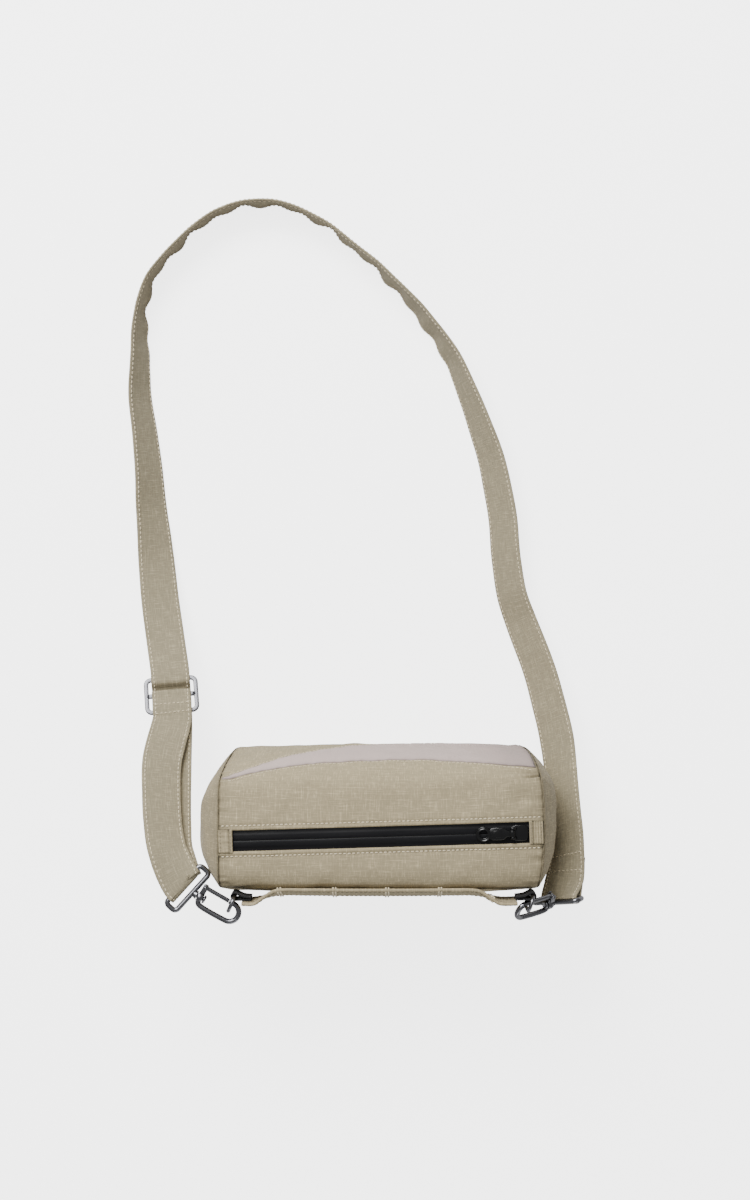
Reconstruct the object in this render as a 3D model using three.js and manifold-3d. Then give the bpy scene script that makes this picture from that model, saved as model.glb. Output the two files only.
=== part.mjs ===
// A belt bag of ripstop cloth, laid down as it rests: the bag stands on its base with the zip face up,
// and its strap lies round in a loop in front of it, on the same surface.
// Millimetres, +Z up. +Y is the front of the bag and +X its right-hand end.
// The origin is the middle of the flat base.

import * as THREE from 'three';
import { mergeVertices } from 'three/addons/utils/BufferGeometryUtils.js';
import Module from 'manifold-3d';

const wasm = await Module();
wasm.setup();

// Bag
const BAG_LENGTH_TOP = 194; // seam to seam along the zip face
const BAG_LENGTH_BASE = 183; // seam to seam at the base
const BAG_HEIGHT = 118;
const BAG_DEPTH = 92; // belly to belly
const WALL = 1.6; // lined ripstop
const GUSSET_BULGE_LEFT = 18;
const GUSSET_BULGE_RIGHT = 16;
const SEAM_GAP = 0.3; // between two pieces that are sewn together
const LAY_GAP = 0.3; // between a piece and what it lies on

// Zip
const ZIP_WINDOW_LENGTH = 188;
const ZIP_WINDOW_WIDTH = 12.7;
const ZIP_MIDDLE_X = 1.5;
const ZIP_MIDDLE_Y = -3.6;
const ZIP_TURN_DEG = 1.67; // the zip runs slightly askew
const TAPE_WIDTH = 30; // both tapes together
const TAPE_THICKNESS = 0.9;
const TAPE_SLIT = 0.3;
const TAPE_END_CLEARANCE = 1.2; // from each end seam
const PATCH_WIDTH = 14.4;
const PATCH_THICKNESS = 1.2;
const PATCH_LEFT_OVER = 4.4; // past the window's end
const PATCH_RIGHT_OVER = 5;
const SLIDER_LENGTH = 11;
const SLIDER_WIDTH = 9.6;
const SLIDER_PLATE = 1.6;
const SLIDER_FROM_END = 0.6; // clear of the right end patch
const BRIDGE_WIDTH = 2.4;
const PULLER_PIN_RADIUS = 0.7;
const PULLER_PIN_CLEARANCE = 0.3;
const PULLER_LENGTH = 17.3; // pin to the middle of the round end
const PULLER_RING_RADIUS = 4.5;
const PULLER_HOLE_RADIUS = 2.6;
const PULLER_WIDTH = 7.6;
const PULLER_THICKNESS = 1.5;

// Front stripe and back band
const STRIPE_THICKNESS = 0.9;
const BAND_WIDTH = 25;
const BAND_THICKNESS = 2.2;
const BAND_DROP = 15; // the band's middle below the bag's top
const TAB_WIDTH = 14.4;
const TAB_THICKNESS = 1;
const TAB_LENGTH = 10;
const TAB_HOOK_GAP = 0.6; // lets the hook swing a little

// Rings on the band
const D_RING_WIRE = 2.6;
const D_RING_INSIDE_HEIGHT = 21;
const D_RING_INSIDE_DEPTH = 6.2;
const RING_FROM_SEAM_LEFT = 7.6; // where the hooks pass through the rings, in from the end seams
const RING_FROM_SEAM_RIGHT = 5.7;
const RING_INSIDE_BELLY = 0.95; // and in from the back's furthest point

// Snap hooks
const HOOK_WIRE = 3.6;
const HOOK_WIDTH = 11.4; // spine to gate, middle to middle
const HOOK_BEND_START = 25.3; // from the strap loop's near bar
const HOOK_BASE = 5.4;
const HOOK_SPINE_OFFSET = 4.7; // the swivel axis to the spine
const GATE_WIRE = 2.6;
const GATE_END = 21.8;
const GATE_NOSE_GAP = 0.35;
const GATE_PIN_RADIUS = 0.7;
const GATE_PIN_CLEARANCE = 0.3;
const GATE_EAR = 0.8;
const LOOP_WIRE = 3.3;
const LOOP_SIDE_CLEARANCE = 1.2; // beside the strap, at each side
const LOOP_INSIDE_DEPTH = 4.6;
const STUD_RADIUS = 1.5;
const STUD_CLEARANCE = 0.3;
const STUD_HEAD_RADIUS = 2.6;
const STUD_HEAD_LENGTH = 1.6;

// Adjuster
const ADJUSTER_SIDE_CLEARANCE = 2; // beside the strap, at each side
const ADJUSTER_LENGTH = 25;
const ADJUSTER_BAR = 2.9;
const ADJUSTER_THICKNESS = 1.8;
const ADJUSTER_CORNER = 4;

// Strap
const STRAP_WIDTH = 25;
const STRAP_THICKNESS = 1.6;
const STRAP_GAP = 0.4; // between two layers of it
const STRAP_TAIL = 30; // sewn back under the right-hand end
const LOOP_HALF_WIDTH = 160; // what the shares across in the route's rows mean
const LOOP_REACH = 400; // what the shares along in the route's rows mean

const HALF_TOP = BAG_LENGTH_TOP / 2;
const HALF_BASE = BAG_LENGTH_BASE / 2;
const HALF_DEPTH = BAG_DEPTH / 2;
const BAND_HEIGHT = BAG_HEIGHT - BAND_DROP;

// The bag's outline seen from its end, once round from the middle of the base over the front, the top
// and the back. Depths are shares of half the bag's depth and heights are shares of its height, in the
// middle of the bag and at its end seams.
const OUTLINE = [
  { place: 'base middle', depth: 0, height: 0, endDepth: 0, endHeight: 0 },
  { place: 'base front', depth: 0.58, height: 0, endDepth: 0.58, endHeight: 0 },
  { place: 'front corner', depth: 0.83, height: 0.03, endDepth: 0.82, endHeight: 0.022 },
  { place: 'front foot', depth: 0.935, height: 0.12, endDepth: 0.9, endHeight: 0.1 },
  { place: 'front belly low', depth: 1, height: 0.25, endDepth: 0.925, endHeight: 0.24 },
  { place: 'front belly', depth: 1.015, height: 0.42, endDepth: 0.905, endHeight: 0.42 },
  { place: 'front chest', depth: 0.985, height: 0.635, endDepth: 0.835, endHeight: 0.635 },
  { place: 'shoulder low', depth: 0.9, height: 0.82, endDepth: 0.745, endHeight: 0.82 },
  { place: 'shoulder', depth: 0.785, height: 0.915, endDepth: 0.69, endHeight: 0.905 },
  { place: 'top front', depth: 0.59, height: 0.972, endDepth: 0.61, endHeight: 0.955 },
  { place: 'top middle front', depth: 0.22, height: 0.996, endDepth: 0.25, endHeight: 0.982 },
  { place: 'top middle back', depth: -0.26, height: 1, endDepth: -0.26, endHeight: 0.986 },
  { place: 'top back', depth: -0.6, height: 0.987, endDepth: -0.61, endHeight: 0.976 },
  { place: 'back fold', depth: -0.745, height: 0.953, endDepth: -0.73, endHeight: 0.945 },
  { place: 'back neck', depth: -0.84, height: 0.847, endDepth: -0.8, endHeight: 0.847 },
  { place: 'back chest', depth: -0.965, height: 0.635, endDepth: -0.89, endHeight: 0.635 },
  { place: 'back belly', depth: -1, height: 0.407, endDepth: -0.93, endHeight: 0.407 },
  { place: 'back foot', depth: -0.945, height: 0.17, endDepth: -0.91, endHeight: 0.17 },
  { place: 'back corner', depth: -0.82, height: 0.034, endDepth: -0.82, endHeight: 0.026 },
  { place: 'base back', depth: -0.58, height: 0, endDepth: -0.58, endHeight: 0 },
];
const END_PULL = 2.6; // how late the outline turns into the one at the seams
const SAMPLES_PER_ROW = 2;
const RING = OUTLINE.length * SAMPLES_PER_ROW;
const FRONT_SPAN = [3, 9];
const TOP_SPAN = [8.5, 13];
const BACK_SPAN = [13, 17];

// The strap's free run, from the right-hand hook round to the adjuster. Places are the middle of the
// strap, as shares of the loop's half width and reach; lift is the height of that middle as a share of
// the bag's height, and 0 where the strap's lower edge lies on the surface; lean is its lean in degrees.
const STRAP_ROUTE = [
  { across: 0.727, along: -0.09, lift: 0.61, lean: 30 },
  { across: 0.744, along: -0.054, lift: 0.515, lean: 44 },
  { across: 0.75, along: -0.004, lift: 0.41, lean: 48 },
  { across: 0.738, along: 0.057, lift: 0.322, lean: 42 },
  { across: 0.724, along: 0.12, lift: 0.237, lean: 34 },
  { across: 0.692, along: 0.184, lift: 0.17, lean: 34 },
  { across: 0.646, along: 0.249, lift: 0.123, lean: 36 },
  { across: 0.588, along: 0.314, lift: 0, lean: 38 },
  { across: 0.55, along: 0.36, lift: 0, lean: 42 },
  { across: 0.526, along: 0.413, lift: 0, lean: 44 },
  { across: 0.513, along: 0.479, lift: 0, lean: 45 },
  { across: 0.484, along: 0.545, lift: 0, lean: 47 },
  { across: 0.441, along: 0.611, lift: 0, lean: 53 },
  { across: 0.381, along: 0.678, lift: 0, lean: 61 },
  { across: 0.307, along: 0.744, lift: 0, lean: 69 },
  { across: 0.196, along: 0.81, lift: 0, lean: 76 },
  { across: 0.072, along: 0.866, lift: 0, lean: 84 },
  { across: -0.081, along: 0.926, lift: 0, lean: 90 },
  { across: -0.266, along: 0.979, lift: 0, lean: 93 },
  { across: -0.473, along: 1.004, lift: 0, lean: 94 },
  { across: -0.667, along: 0.985, lift: 0, lean: 94 },
  { across: -0.802, along: 0.946, lift: 0, lean: 93 },
  { across: -0.9, along: 0.905, lift: 0, lean: 90 },
  { across: -0.956, along: 0.866, lift: 0, lean: 86 },
  { across: -0.984, along: 0.81, lift: 0, lean: 77 },
  { across: -0.984, along: 0.744, lift: 0, lean: 67 },
  { across: -0.98, along: 0.678, lift: 0, lean: 60 },
  { across: -0.962, along: 0.612, lift: 0, lean: 55 },
  { across: -0.948, along: 0.546, lift: 0, lean: 49 },
  { across: -0.935, along: 0.48, lift: 0, lean: 40 },
  { across: -0.918, along: 0.413, lift: 0.085, lean: 26 },
  { across: -0.898, along: 0.347, lift: 0.13, lean: 16 },
  { across: -0.872, along: 0.286, lift: 0.195, lean: 8 },
];

// The two layers between the adjuster and the left-hand hook, from the hook to the adjuster. Shares as
// in the route; lean is in degrees.
const DOUBLED_LAYERS = [
  { front: [-0.805, -0.036, 0.862], back: [-0.79, -0.034, 0.8], lean: 22 },
  { front: [-0.83, 0.002, 0.783], back: [-0.802, 0.006, 0.708], lean: 27 },
  { front: [-0.845, 0.045, 0.682], back: [-0.81, 0.048, 0.613], lean: 26 },
  { front: [-0.852, 0.095, 0.571], back: [-0.818, 0.096, 0.505], lean: 18 },
];

const COLOURS = {
  cloth: { color: 0xaca28c, roughness: 0.9, metalness: 0 },
  stripe: { color: 0xb9b0b0, roughness: 0.85, metalness: 0 },
  zip: { color: 0x1c1c20, roughness: 0.45, metalness: 0 },
  webbing: { color: 0x18181a, roughness: 0.9, metalness: 0 },
  gunmetal: { color: 0x3a3838, roughness: 0.3, metalness: 1 },
  nickel: { color: 0xb8bac0, roughness: 0.22, metalness: 1 },
  blackMetal: { color: 0x101012, roughness: 0.35, metalness: 0.6 },
};

const group = new THREE.Group();
group.name = 'belt_bag';

function add(parent, name, geometry, colours) {
  const mesh = new THREE.Mesh(geometry, new THREE.MeshStandardMaterial(colours));
  mesh.name = name;
  parent.add(mesh);
  return mesh;
}

function vec(x, y, z) {
  return new THREE.Vector3(x, y, z);
}

function lerp(a, b, t) {
  return a + (b - a) * t;
}

// Joining and cutting

function toSolid(geometry) {
  const bare = geometry.clone();
  bare.deleteAttribute('normal');
  bare.deleteAttribute('uv');
  const merged = mergeVertices(bare, 1e-4);
  return new wasm.Manifold(new wasm.Mesh({
    numProp: 3,
    vertProperties: new Float32Array(merged.attributes.position.array),
    triVerts: new Uint32Array(merged.index.array),
  }));
}

function toGeometry(solid) {
  const mesh = solid.getMesh();
  const geometry = new THREE.BufferGeometry();
  geometry.setAttribute('position', new THREE.BufferAttribute(new Float32Array(mesh.vertProperties), 3));
  geometry.setIndex(new THREE.BufferAttribute(new Uint32Array(mesh.triVerts), 1));
  return geometry;
}

function joined(geometries) {
  return geometries.map(toSolid).reduce((whole, piece) => whole.add(piece));
}

// A closed body from rows of points. Each row is a ring of equal length, and the rows either run from
// one flat end to the other or close on themselves.
function ringsGeometry(rows, closed) {
  const count = rows[0].length;
  const positions = rows.flat().flatMap((p) => [p.x, p.y, p.z]);
  const index = [];
  const spans = closed ? rows.length : rows.length - 1;
  for (let i = 0; i < spans; i++) {
    const next = (i + 1) % rows.length;
    for (let j = 0; j < count; j++) {
      const k = (j + 1) % count;
      index.push(i * count + j, i * count + k, next * count + k);
      index.push(i * count + j, next * count + k, next * count + j);
    }
  }
  if (!closed) {
    const last = (rows.length - 1) * count;
    for (let j = 1; j < count - 1; j++) {
      index.push(0, j + 1, j);
      index.push(last, last + j, last + j + 1);
    }
  }
  const geometry = new THREE.BufferGeometry();
  geometry.setAttribute('position', new THREE.BufferAttribute(new Float32Array(positions), 3));
  geometry.setIndex(index);
  return facedOut(geometry);
}

// Turns every triangle round where the body's volume comes out negative.
function facedOut(geometry) {
  const p = geometry.attributes.position;
  const index = geometry.index.array;
  const corner = [vec(), vec(), vec()];
  let volume = 0;
  for (let i = 0; i < index.length; i += 3) {
    corner.forEach((c, k) => c.fromBufferAttribute(p, index[i + k]));
    volume += corner[0].dot(corner[1].clone().cross(corner[2]));
  }
  if (volume < 0) {
    for (let i = 0; i < index.length; i += 3) {
      [index[i + 1], index[i + 2]] = [index[i + 2], index[i + 1]];
    }
  }
  return geometry;
}

// A flat strip along stations, each with a middle point and the direction across the strip.
function ribbonGeometry(stations, width, thickness) {
  const rows = stations.map((station, i) => {
    const before = stations[Math.max(i - 1, 0)].at;
    const after = stations[Math.min(i + 1, stations.length - 1)].at;
    const along = after.clone().sub(before).normalize();
    const face = along.clone().cross(station.across).normalize();
    const side = station.across.clone().multiplyScalar(width / 2);
    const up = face.multiplyScalar(thickness / 2);
    return [
      station.at.clone().sub(side).sub(up),
      station.at.clone().add(side).sub(up),
      station.at.clone().add(side).add(up),
      station.at.clone().sub(side).add(up),
    ];
  });
  return ringsGeometry(rows, false);
}

// Stations again, on one smooth curve through them, with some more between each two.
function smoothStations(stations, between) {
  const curve = new THREE.CatmullRomCurve3(stations.map((s) => s.at), false, 'centripetal');
  const spans = stations.length - 1;
  const result = [];
  for (let i = 0; i < spans; i++) {
    const steps = stations[i].fine ? 1 : between;
    for (let k = 0; k < steps; k++) {
      const share = k / steps;
      const across = stations[i].across.clone().lerp(stations[i + 1].across, share).normalize();
      result.push({ at: curve.getPoint((i + share) / spans), across });
    }
  }
  result.push(stations[spans]);
  return result;
}

function circleShape(radius, holeRadius) {
  const shape = new THREE.Shape();
  shape.absarc(0, 0, radius, 0, Math.PI * 2);
  if (holeRadius) {
    const hole = new THREE.Path();
    hole.absarc(0, 0, holeRadius, 0, Math.PI * 2, true);
    shape.holes.push(hole);
  }
  return shape;
}

function wireGeometry(path, wire, steps, sides) {
  return new THREE.ExtrudeGeometry(circleShape(wire / 2), {
    steps,
    curveSegments: sides,
    bevelEnabled: false,
    extrudePath: path,
  });
}

// A flat closed outline of points made into a closed wire ring.
function closedWire(points, wire, sides) {
  const curve = new THREE.CatmullRomCurve3(points, true, 'centripetal');
  return new THREE.TubeGeometry(curve, points.length, wire / 2, sides, true);
}

// A rounded rectangle's points, in the plane of two directions, once round.
function roundedPoints(middle, first, second, length, depth, radius, perCorner) {
  const corners = [[1, 1, 0], [-1, 1, 1], [-1, -1, 2], [1, -1, 3]];
  const points = [];
  for (const [sx, sy, quarter] of corners) {
    for (let k = 0; k <= perCorner; k++) {
      const angle = (quarter + k / perCorner) * Math.PI / 2;
      const x = sx * (length / 2 - radius) + radius * Math.cos(angle);
      const y = sy * (depth / 2 - radius) + radius * Math.sin(angle);
      points.push(middle.clone().addScaledVector(first, x).addScaledVector(second, y));
    }
  }
  return points;
}

// Bag shell

function outlineCurve(share) {
  const pull = Math.abs(share) ** END_PULL;
  const points = OUTLINE.map((row) => vec(
    0,
    lerp(row.depth, row.endDepth, pull) * HALF_DEPTH,
    lerp(row.height, row.endHeight, pull) * BAG_HEIGHT,
  ));
  return new THREE.CatmullRomCurve3(points, true, 'centripetal');
}

function halfLengthAt(z) {
  return lerp(HALF_BASE, HALF_TOP, z / BAG_HEIGHT);
}

// A point of the bag's outer face. Row is a place in OUTLINE, which may lie between two of its rows.
function bagPoint(share, row) {
  const p = outlineCurve(share).getPoint(row / OUTLINE.length);
  p.z = Math.max(p.z, 0);
  p.x = share * halfLengthAt(p.z);
  return p;
}

// The point of the outer face at some x, where the outline passes a depth or a height within a span.
function facePoint(x, span, axis, value) {
  let [low, high] = span;
  let share = x / HALF_TOP;
  const rising = bagPoint(share, high)[axis] > bagPoint(share, low)[axis];
  let p;
  for (let i = 0; i < 24; i++) {
    const middle = (low + high) / 2;
    p = bagPoint(share, middle);
    share = x / halfLengthAt(p.z);
    if (p[axis] < value === rising) low = middle;
    else high = middle;
  }
  return p;
}

function topHeight(x, y) {
  return facePoint(x, TOP_SPAN, 'y', y).z;
}

function inwardOffsets(ring, distance) {
  return ring.map((p, i) => {
    const before = ring[(i + ring.length - 1) % ring.length];
    const after = ring[(i + 1) % ring.length];
    const along = after.clone().sub(before).setX(0).normalize();
    return p.clone().add(vec(0, -along.z, along.y).multiplyScalar(distance));
  });
}

function bagRing(share) {
  return Array.from({ length: RING }, (_, i) => bagPoint(share, i / SAMPLES_PER_ROW));
}

const SHARES = [-1, -0.93, -0.84, -0.7, -0.5, -0.25, 0, 0.25, 0.5, 0.7, 0.84, 0.93, 1];

// Front, top, back and base in one wrap: the outer rings out to one end and the inner rings back.
function wrapGeometry() {
  const outer = SHARES.map(bagRing);
  const inner = outer.map((ring) => inwardOffsets(ring, WALL)).reverse();
  return ringsGeometry([...outer, ...inner], true);
}

const zipFrame = new THREE.Matrix4()
  .makeRotationZ(THREE.MathUtils.degToRad(ZIP_TURN_DEG))
  .setPosition(ZIP_MIDDLE_X, ZIP_MIDDLE_Y, 0);

function zipPoint(along, across, below) {
  const p = vec(along, across, 0).applyMatrix4(zipFrame);
  p.z = topHeight(p.x, p.y) - below;
  return p;
}

function windowCutter() {
  const shape = new THREE.Shape();
  shape.moveTo(-ZIP_WINDOW_LENGTH / 2, -ZIP_WINDOW_WIDTH / 2);
  shape.lineTo(ZIP_WINDOW_LENGTH / 2, -ZIP_WINDOW_WIDTH / 2);
  shape.lineTo(ZIP_WINDOW_LENGTH / 2, ZIP_WINDOW_WIDTH / 2);
  shape.lineTo(-ZIP_WINDOW_LENGTH / 2, ZIP_WINDOW_WIDTH / 2);
  const depth = BAG_HEIGHT / 4;
  const geometry = new THREE.ExtrudeGeometry(shape, { depth, bevelEnabled: false });
  geometry.translate(0, 0, BAG_HEIGHT - depth / 2);
  return geometry.applyMatrix4(zipFrame);
}

add(group, 'body_wrap', toGeometry(toSolid(wrapGeometry()).subtract(toSolid(windowCutter()))), COLOURS.cloth);

// An end gusset: a dish that bulges out from the end seam.
const GUSSET_SHARES = [1, 0.9, 0.76, 0.58, 0.36, 0.12];
const GUSSET_MIDDLE = { depth: -0.02, height: 0.46 };
const GUSSET_FULLNESS = 2.2;

function dishPoint(rim, share, side, bulge) {
  const middle = vec(0, GUSSET_MIDDLE.depth * HALF_DEPTH, GUSSET_MIDDLE.height * BAG_HEIGHT);
  const p = middle.lerp(rim, share);
  const seam = lerp(halfLengthAt(BAG_HEIGHT / 2), Math.abs(rim.x), share) + SEAM_GAP;
  p.x = side * (seam + bulge * (1 - share ** GUSSET_FULLNESS));
  return p;
}

function gussetGeometry(side, bulge) {
  const rim = bagRing(side);
  const innerRim = inwardOffsets(rim, WALL);
  const outer = GUSSET_SHARES.map((share) => rim.map((p) => dishPoint(p, share, side, bulge)));
  const inner = GUSSET_SHARES.map((share) => innerRim.map((p) => dishPoint(p, share, side, bulge - WALL)));
  return ringsGeometry([...inner.reverse(), ...outer], false);
}

add(group, 'gusset_left', gussetGeometry(-1, GUSSET_BULGE_LEFT), COLOURS.cloth);
add(group, 'gusset_right', gussetGeometry(1, GUSSET_BULGE_RIGHT), COLOURS.cloth);

// A sheet that lies over the bag's outer face: a grid of points and the same grid lifted.
function sheetGeometry(lowPoint, highPoint, columns, rows) {
  const rings = [];
  for (let i = 0; i <= columns; i++) {
    const low = [];
    const high = [];
    for (let j = 0; j <= rows; j++) {
      low.push(lowPoint(i / columns, j / rows));
      high.push(highPoint(i / columns, j / rows));
    }
    rings.push([...low, ...high.reverse()]);
  }
  return ringsGeometry(rings, false);
}

// Zip tapes, one each side of the slit
const TAPE_TOP = WALL + LAY_GAP;

function tapeGeometry(side) {
  const point = (below) => (u, v) => zipPoint(
    lerp(-HALF_TOP, HALF_TOP, u) - ZIP_MIDDLE_X + TAPE_END_CLEARANCE * (1 - 2 * u),
    side * lerp(TAPE_SLIT / 2, TAPE_WIDTH / 2, v),
    below,
  );
  return sheetGeometry(point(TAPE_TOP + TAPE_THICKNESS), point(TAPE_TOP), 12, 3);
}

add(group, 'zip_tape_front', tapeGeometry(1), COLOURS.zip);
add(group, 'zip_tape_back', tapeGeometry(-1), COLOURS.zip);

// End patches, from the end seams over the ends of the zip window
function patchLength(side, over) {
  return HALF_TOP - side * ZIP_MIDDLE_X - SEAM_GAP - ZIP_WINDOW_LENGTH / 2 + over;
}

function patchGeometry(side, length) {
  const seam = HALF_TOP - side * ZIP_MIDDLE_X - SEAM_GAP;
  const point = (above) => (u, v) => zipPoint(
    side * lerp(seam - length, seam, u),
    lerp(-PATCH_WIDTH / 2, PATCH_WIDTH / 2, v),
    -above,
  );
  return sheetGeometry(point(LAY_GAP), point(LAY_GAP + PATCH_THICKNESS), 3, 4);
}

add(group, 'zip_patch_left', patchGeometry(-1, patchLength(-1, PATCH_LEFT_OVER)), COLOURS.cloth);
add(group, 'zip_patch_right', patchGeometry(1, patchLength(1, PATCH_RIGHT_OVER)), COLOURS.cloth);

// Slider: a plate on the tapes with a bridge that holds the puller's pin
const PATCH_RIGHT_START = ZIP_WINDOW_LENGTH / 2 - PATCH_RIGHT_OVER;
const SLIDER_RIGHT = PATCH_RIGHT_START - SLIDER_FROM_END;
const SLIDER_MIDDLE = SLIDER_RIGHT - SLIDER_LENGTH / 2;
const sliderAt = zipPoint(SLIDER_MIDDLE, 0, TAPE_TOP - LAY_GAP);

function plateShape(length, width, nose) {
  const shape = new THREE.Shape();
  shape.moveTo(-length / 2, -nose / 2);
  shape.lineTo(-length * 0.2, -width / 2);
  shape.lineTo(length * 0.35, -width / 2);
  shape.lineTo(length / 2, -width * 0.3);
  shape.lineTo(length / 2, width * 0.3);
  shape.lineTo(length * 0.35, width / 2);
  shape.lineTo(-length * 0.2, width / 2);
  shape.lineTo(-length / 2, nose / 2);
  return shape;
}

const PULLER_EYE_RADIUS = PULLER_PIN_RADIUS + PULLER_PIN_CLEARANCE + 0.7;
const PIN_HEIGHT = SLIDER_PLATE + LAY_GAP + PULLER_EYE_RADIUS;
const BRIDGE_HEIGHT = PIN_HEIGHT + PULLER_PIN_RADIUS + 0.5;
const PIN_FROM_MIDDLE = -SLIDER_LENGTH / 2 + 1.2;

function sliderGeometry() {
  const plate = new THREE.ExtrudeGeometry(plateShape(SLIDER_LENGTH, SLIDER_WIDTH, SLIDER_WIDTH * 0.7), {
    depth: SLIDER_PLATE,
    bevelEnabled: false,
  });
  const wall = (PULLER_WIDTH * 0.5 + 2 * LAY_GAP) / 2 + BRIDGE_WIDTH / 2;
  const posts = [-1, 1].map((side) => {
    const post = new THREE.BoxGeometry(BRIDGE_WIDTH, BRIDGE_WIDTH / 2, BRIDGE_HEIGHT);
    post.translate(PIN_FROM_MIDDLE, side * (wall - BRIDGE_WIDTH / 4), BRIDGE_HEIGHT / 2);
    return post;
  });
  const pin = new THREE.CylinderGeometry(PULLER_PIN_RADIUS, PULLER_PIN_RADIUS, 2 * wall - 0.2, 10);
  pin.translate(PIN_FROM_MIDDLE, 0, PIN_HEIGHT);
  return toGeometry(joined([plate, ...posts, pin]));
}

const sliderGroup = new THREE.Group();
sliderGroup.position.copy(sliderAt);
sliderGroup.rotation.z = THREE.MathUtils.degToRad(ZIP_TURN_DEG);
group.add(sliderGroup);
add(sliderGroup, 'zip_slider', sliderGeometry(), COLOURS.blackMetal);

// Puller: an eye on the pin, a flat plate and a round end with a hole, lying on the tape
function pullerGeometry() {
  const flat = { depth: PULLER_THICKNESS, bevelEnabled: false, curveSegments: 16 };
  const ring = new THREE.ExtrudeGeometry(circleShape(PULLER_RING_RADIUS, PULLER_HOLE_RADIUS), flat);
  ring.translate(-PULLER_LENGTH, 0, -PULLER_THICKNESS / 2);
  const neck = PULLER_WIDTH * 0.25;
  const start = -PULLER_LENGTH + PULLER_HOLE_RADIUS + 0.8;
  const shape = new THREE.Shape();
  shape.moveTo(start, -PULLER_WIDTH / 2);
  shape.lineTo(-PULLER_LENGTH * 0.34, -PULLER_WIDTH / 2);
  shape.lineTo(-PULLER_LENGTH * 0.19, -neck);
  shape.lineTo(0, -neck);
  shape.lineTo(0, neck);
  shape.lineTo(-PULLER_LENGTH * 0.19, neck);
  shape.lineTo(-PULLER_LENGTH * 0.34, PULLER_WIDTH / 2);
  shape.lineTo(start, PULLER_WIDTH / 2);
  const plate = new THREE.ExtrudeGeometry(shape, flat);
  plate.translate(0, 0, -PULLER_THICKNESS / 2);
  const eye = new THREE.CylinderGeometry(PULLER_EYE_RADIUS, PULLER_EYE_RADIUS, 2 * neck, 14);
  const boreRadius = PULLER_PIN_RADIUS + PULLER_PIN_CLEARANCE;
  const bore = new THREE.CylinderGeometry(boreRadius, boreRadius, 4 * neck, 12);
  return toGeometry(joined([ring, plate, eye]).subtract(toSolid(bore)));
}

const pinAt = vec(PIN_FROM_MIDDLE, 0, PIN_HEIGHT);
const PULLER_TIP = SLIDER_MIDDLE + PIN_FROM_MIDDLE - PULLER_LENGTH - PULLER_RING_RADIUS;
const tapeUnderTip = Math.max(...[0, 1, 2].map((k) => zipPoint(PULLER_TIP + k * PULLER_RING_RADIUS, 0, TAPE_TOP).z));
const pullerDrop = sliderAt.z + PIN_HEIGHT - PULLER_THICKNESS / 2 - tapeUnderTip - 1.5 * LAY_GAP;
const pullerGroup = new THREE.Group();
pullerGroup.position.copy(pinAt);
pullerGroup.rotation.y = -Math.asin(pullerDrop / (PULLER_LENGTH + PULLER_RING_RADIUS));
sliderGroup.add(pullerGroup);
add(pullerGroup, 'zip_puller', pullerGeometry(), COLOURS.blackMetal);

// Front stripe: a plain wedge of smooth cloth from the left-hand shoulder to the right-hand foot.
// Each row gives the heights of its two edges, as shares of the bag's height, at a share of its length.
const STRIPE_EDGES = [
  { share: -0.93, upper: 0.93, lower: 0.915 },
  { share: -0.72, upper: 0.895, lower: 0.8 },
  { share: -0.45, upper: 0.86, lower: 0.655 },
  { share: -0.1, upper: 0.835, lower: 0.47 },
  { share: 0.25, upper: 0.83, lower: 0.3 },
  { share: 0.6, upper: 0.85, lower: 0.17 },
  { share: 0.93, upper: 0.9, lower: 0.1 },
];

function stripeEdge(share) {
  const i = Math.max(1, STRIPE_EDGES.findIndex((edge) => edge.share >= share));
  const [before, after] = [STRIPE_EDGES[i - 1], STRIPE_EDGES[i]];
  const t = (share - before.share) / (after.share - before.share);
  return { upper: lerp(before.upper, after.upper, t), lower: lerp(before.lower, after.lower, t) };
}

function stripeGeometry() {
  const shares = SHARES.filter((share) => Math.abs(share) <= STRIPE_EDGES[STRIPE_EDGES.length - 1].share);
  const rings = shares.map((share) => {
    const edge = stripeEdge(share);
    const steps = 7;
    const low = [];
    const high = [];
    for (let j = 0; j <= steps; j++) {
      const z = lerp(edge.lower, edge.upper, j / steps) * BAG_HEIGHT;
      const p = facePoint(share * halfLengthAt(z), FRONT_SPAN, 'z', z);
      const above = facePoint(share * halfLengthAt(z), FRONT_SPAN, 'z', z + 1);
      const along = above.sub(p).setX(0).normalize();
      const out = vec(0, along.z, -along.y);
      low.push(p.clone().addScaledVector(out, -WALL / 2));
      high.push(p.clone().addScaledVector(out, LAY_GAP + STRIPE_THICKNESS));
    }
    return [...low, ...high.reverse()];
  });
  const grown = SHARES.map(bagRing).map((ring) => inwardOffsets(ring, -LAY_GAP));
  return toGeometry(toSolid(ringsGeometry(rings, false)).subtract(toSolid(ringsGeometry(grown, false))));
}

add(group, 'front_stripe', stripeGeometry(), COLOURS.stripe);

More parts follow.
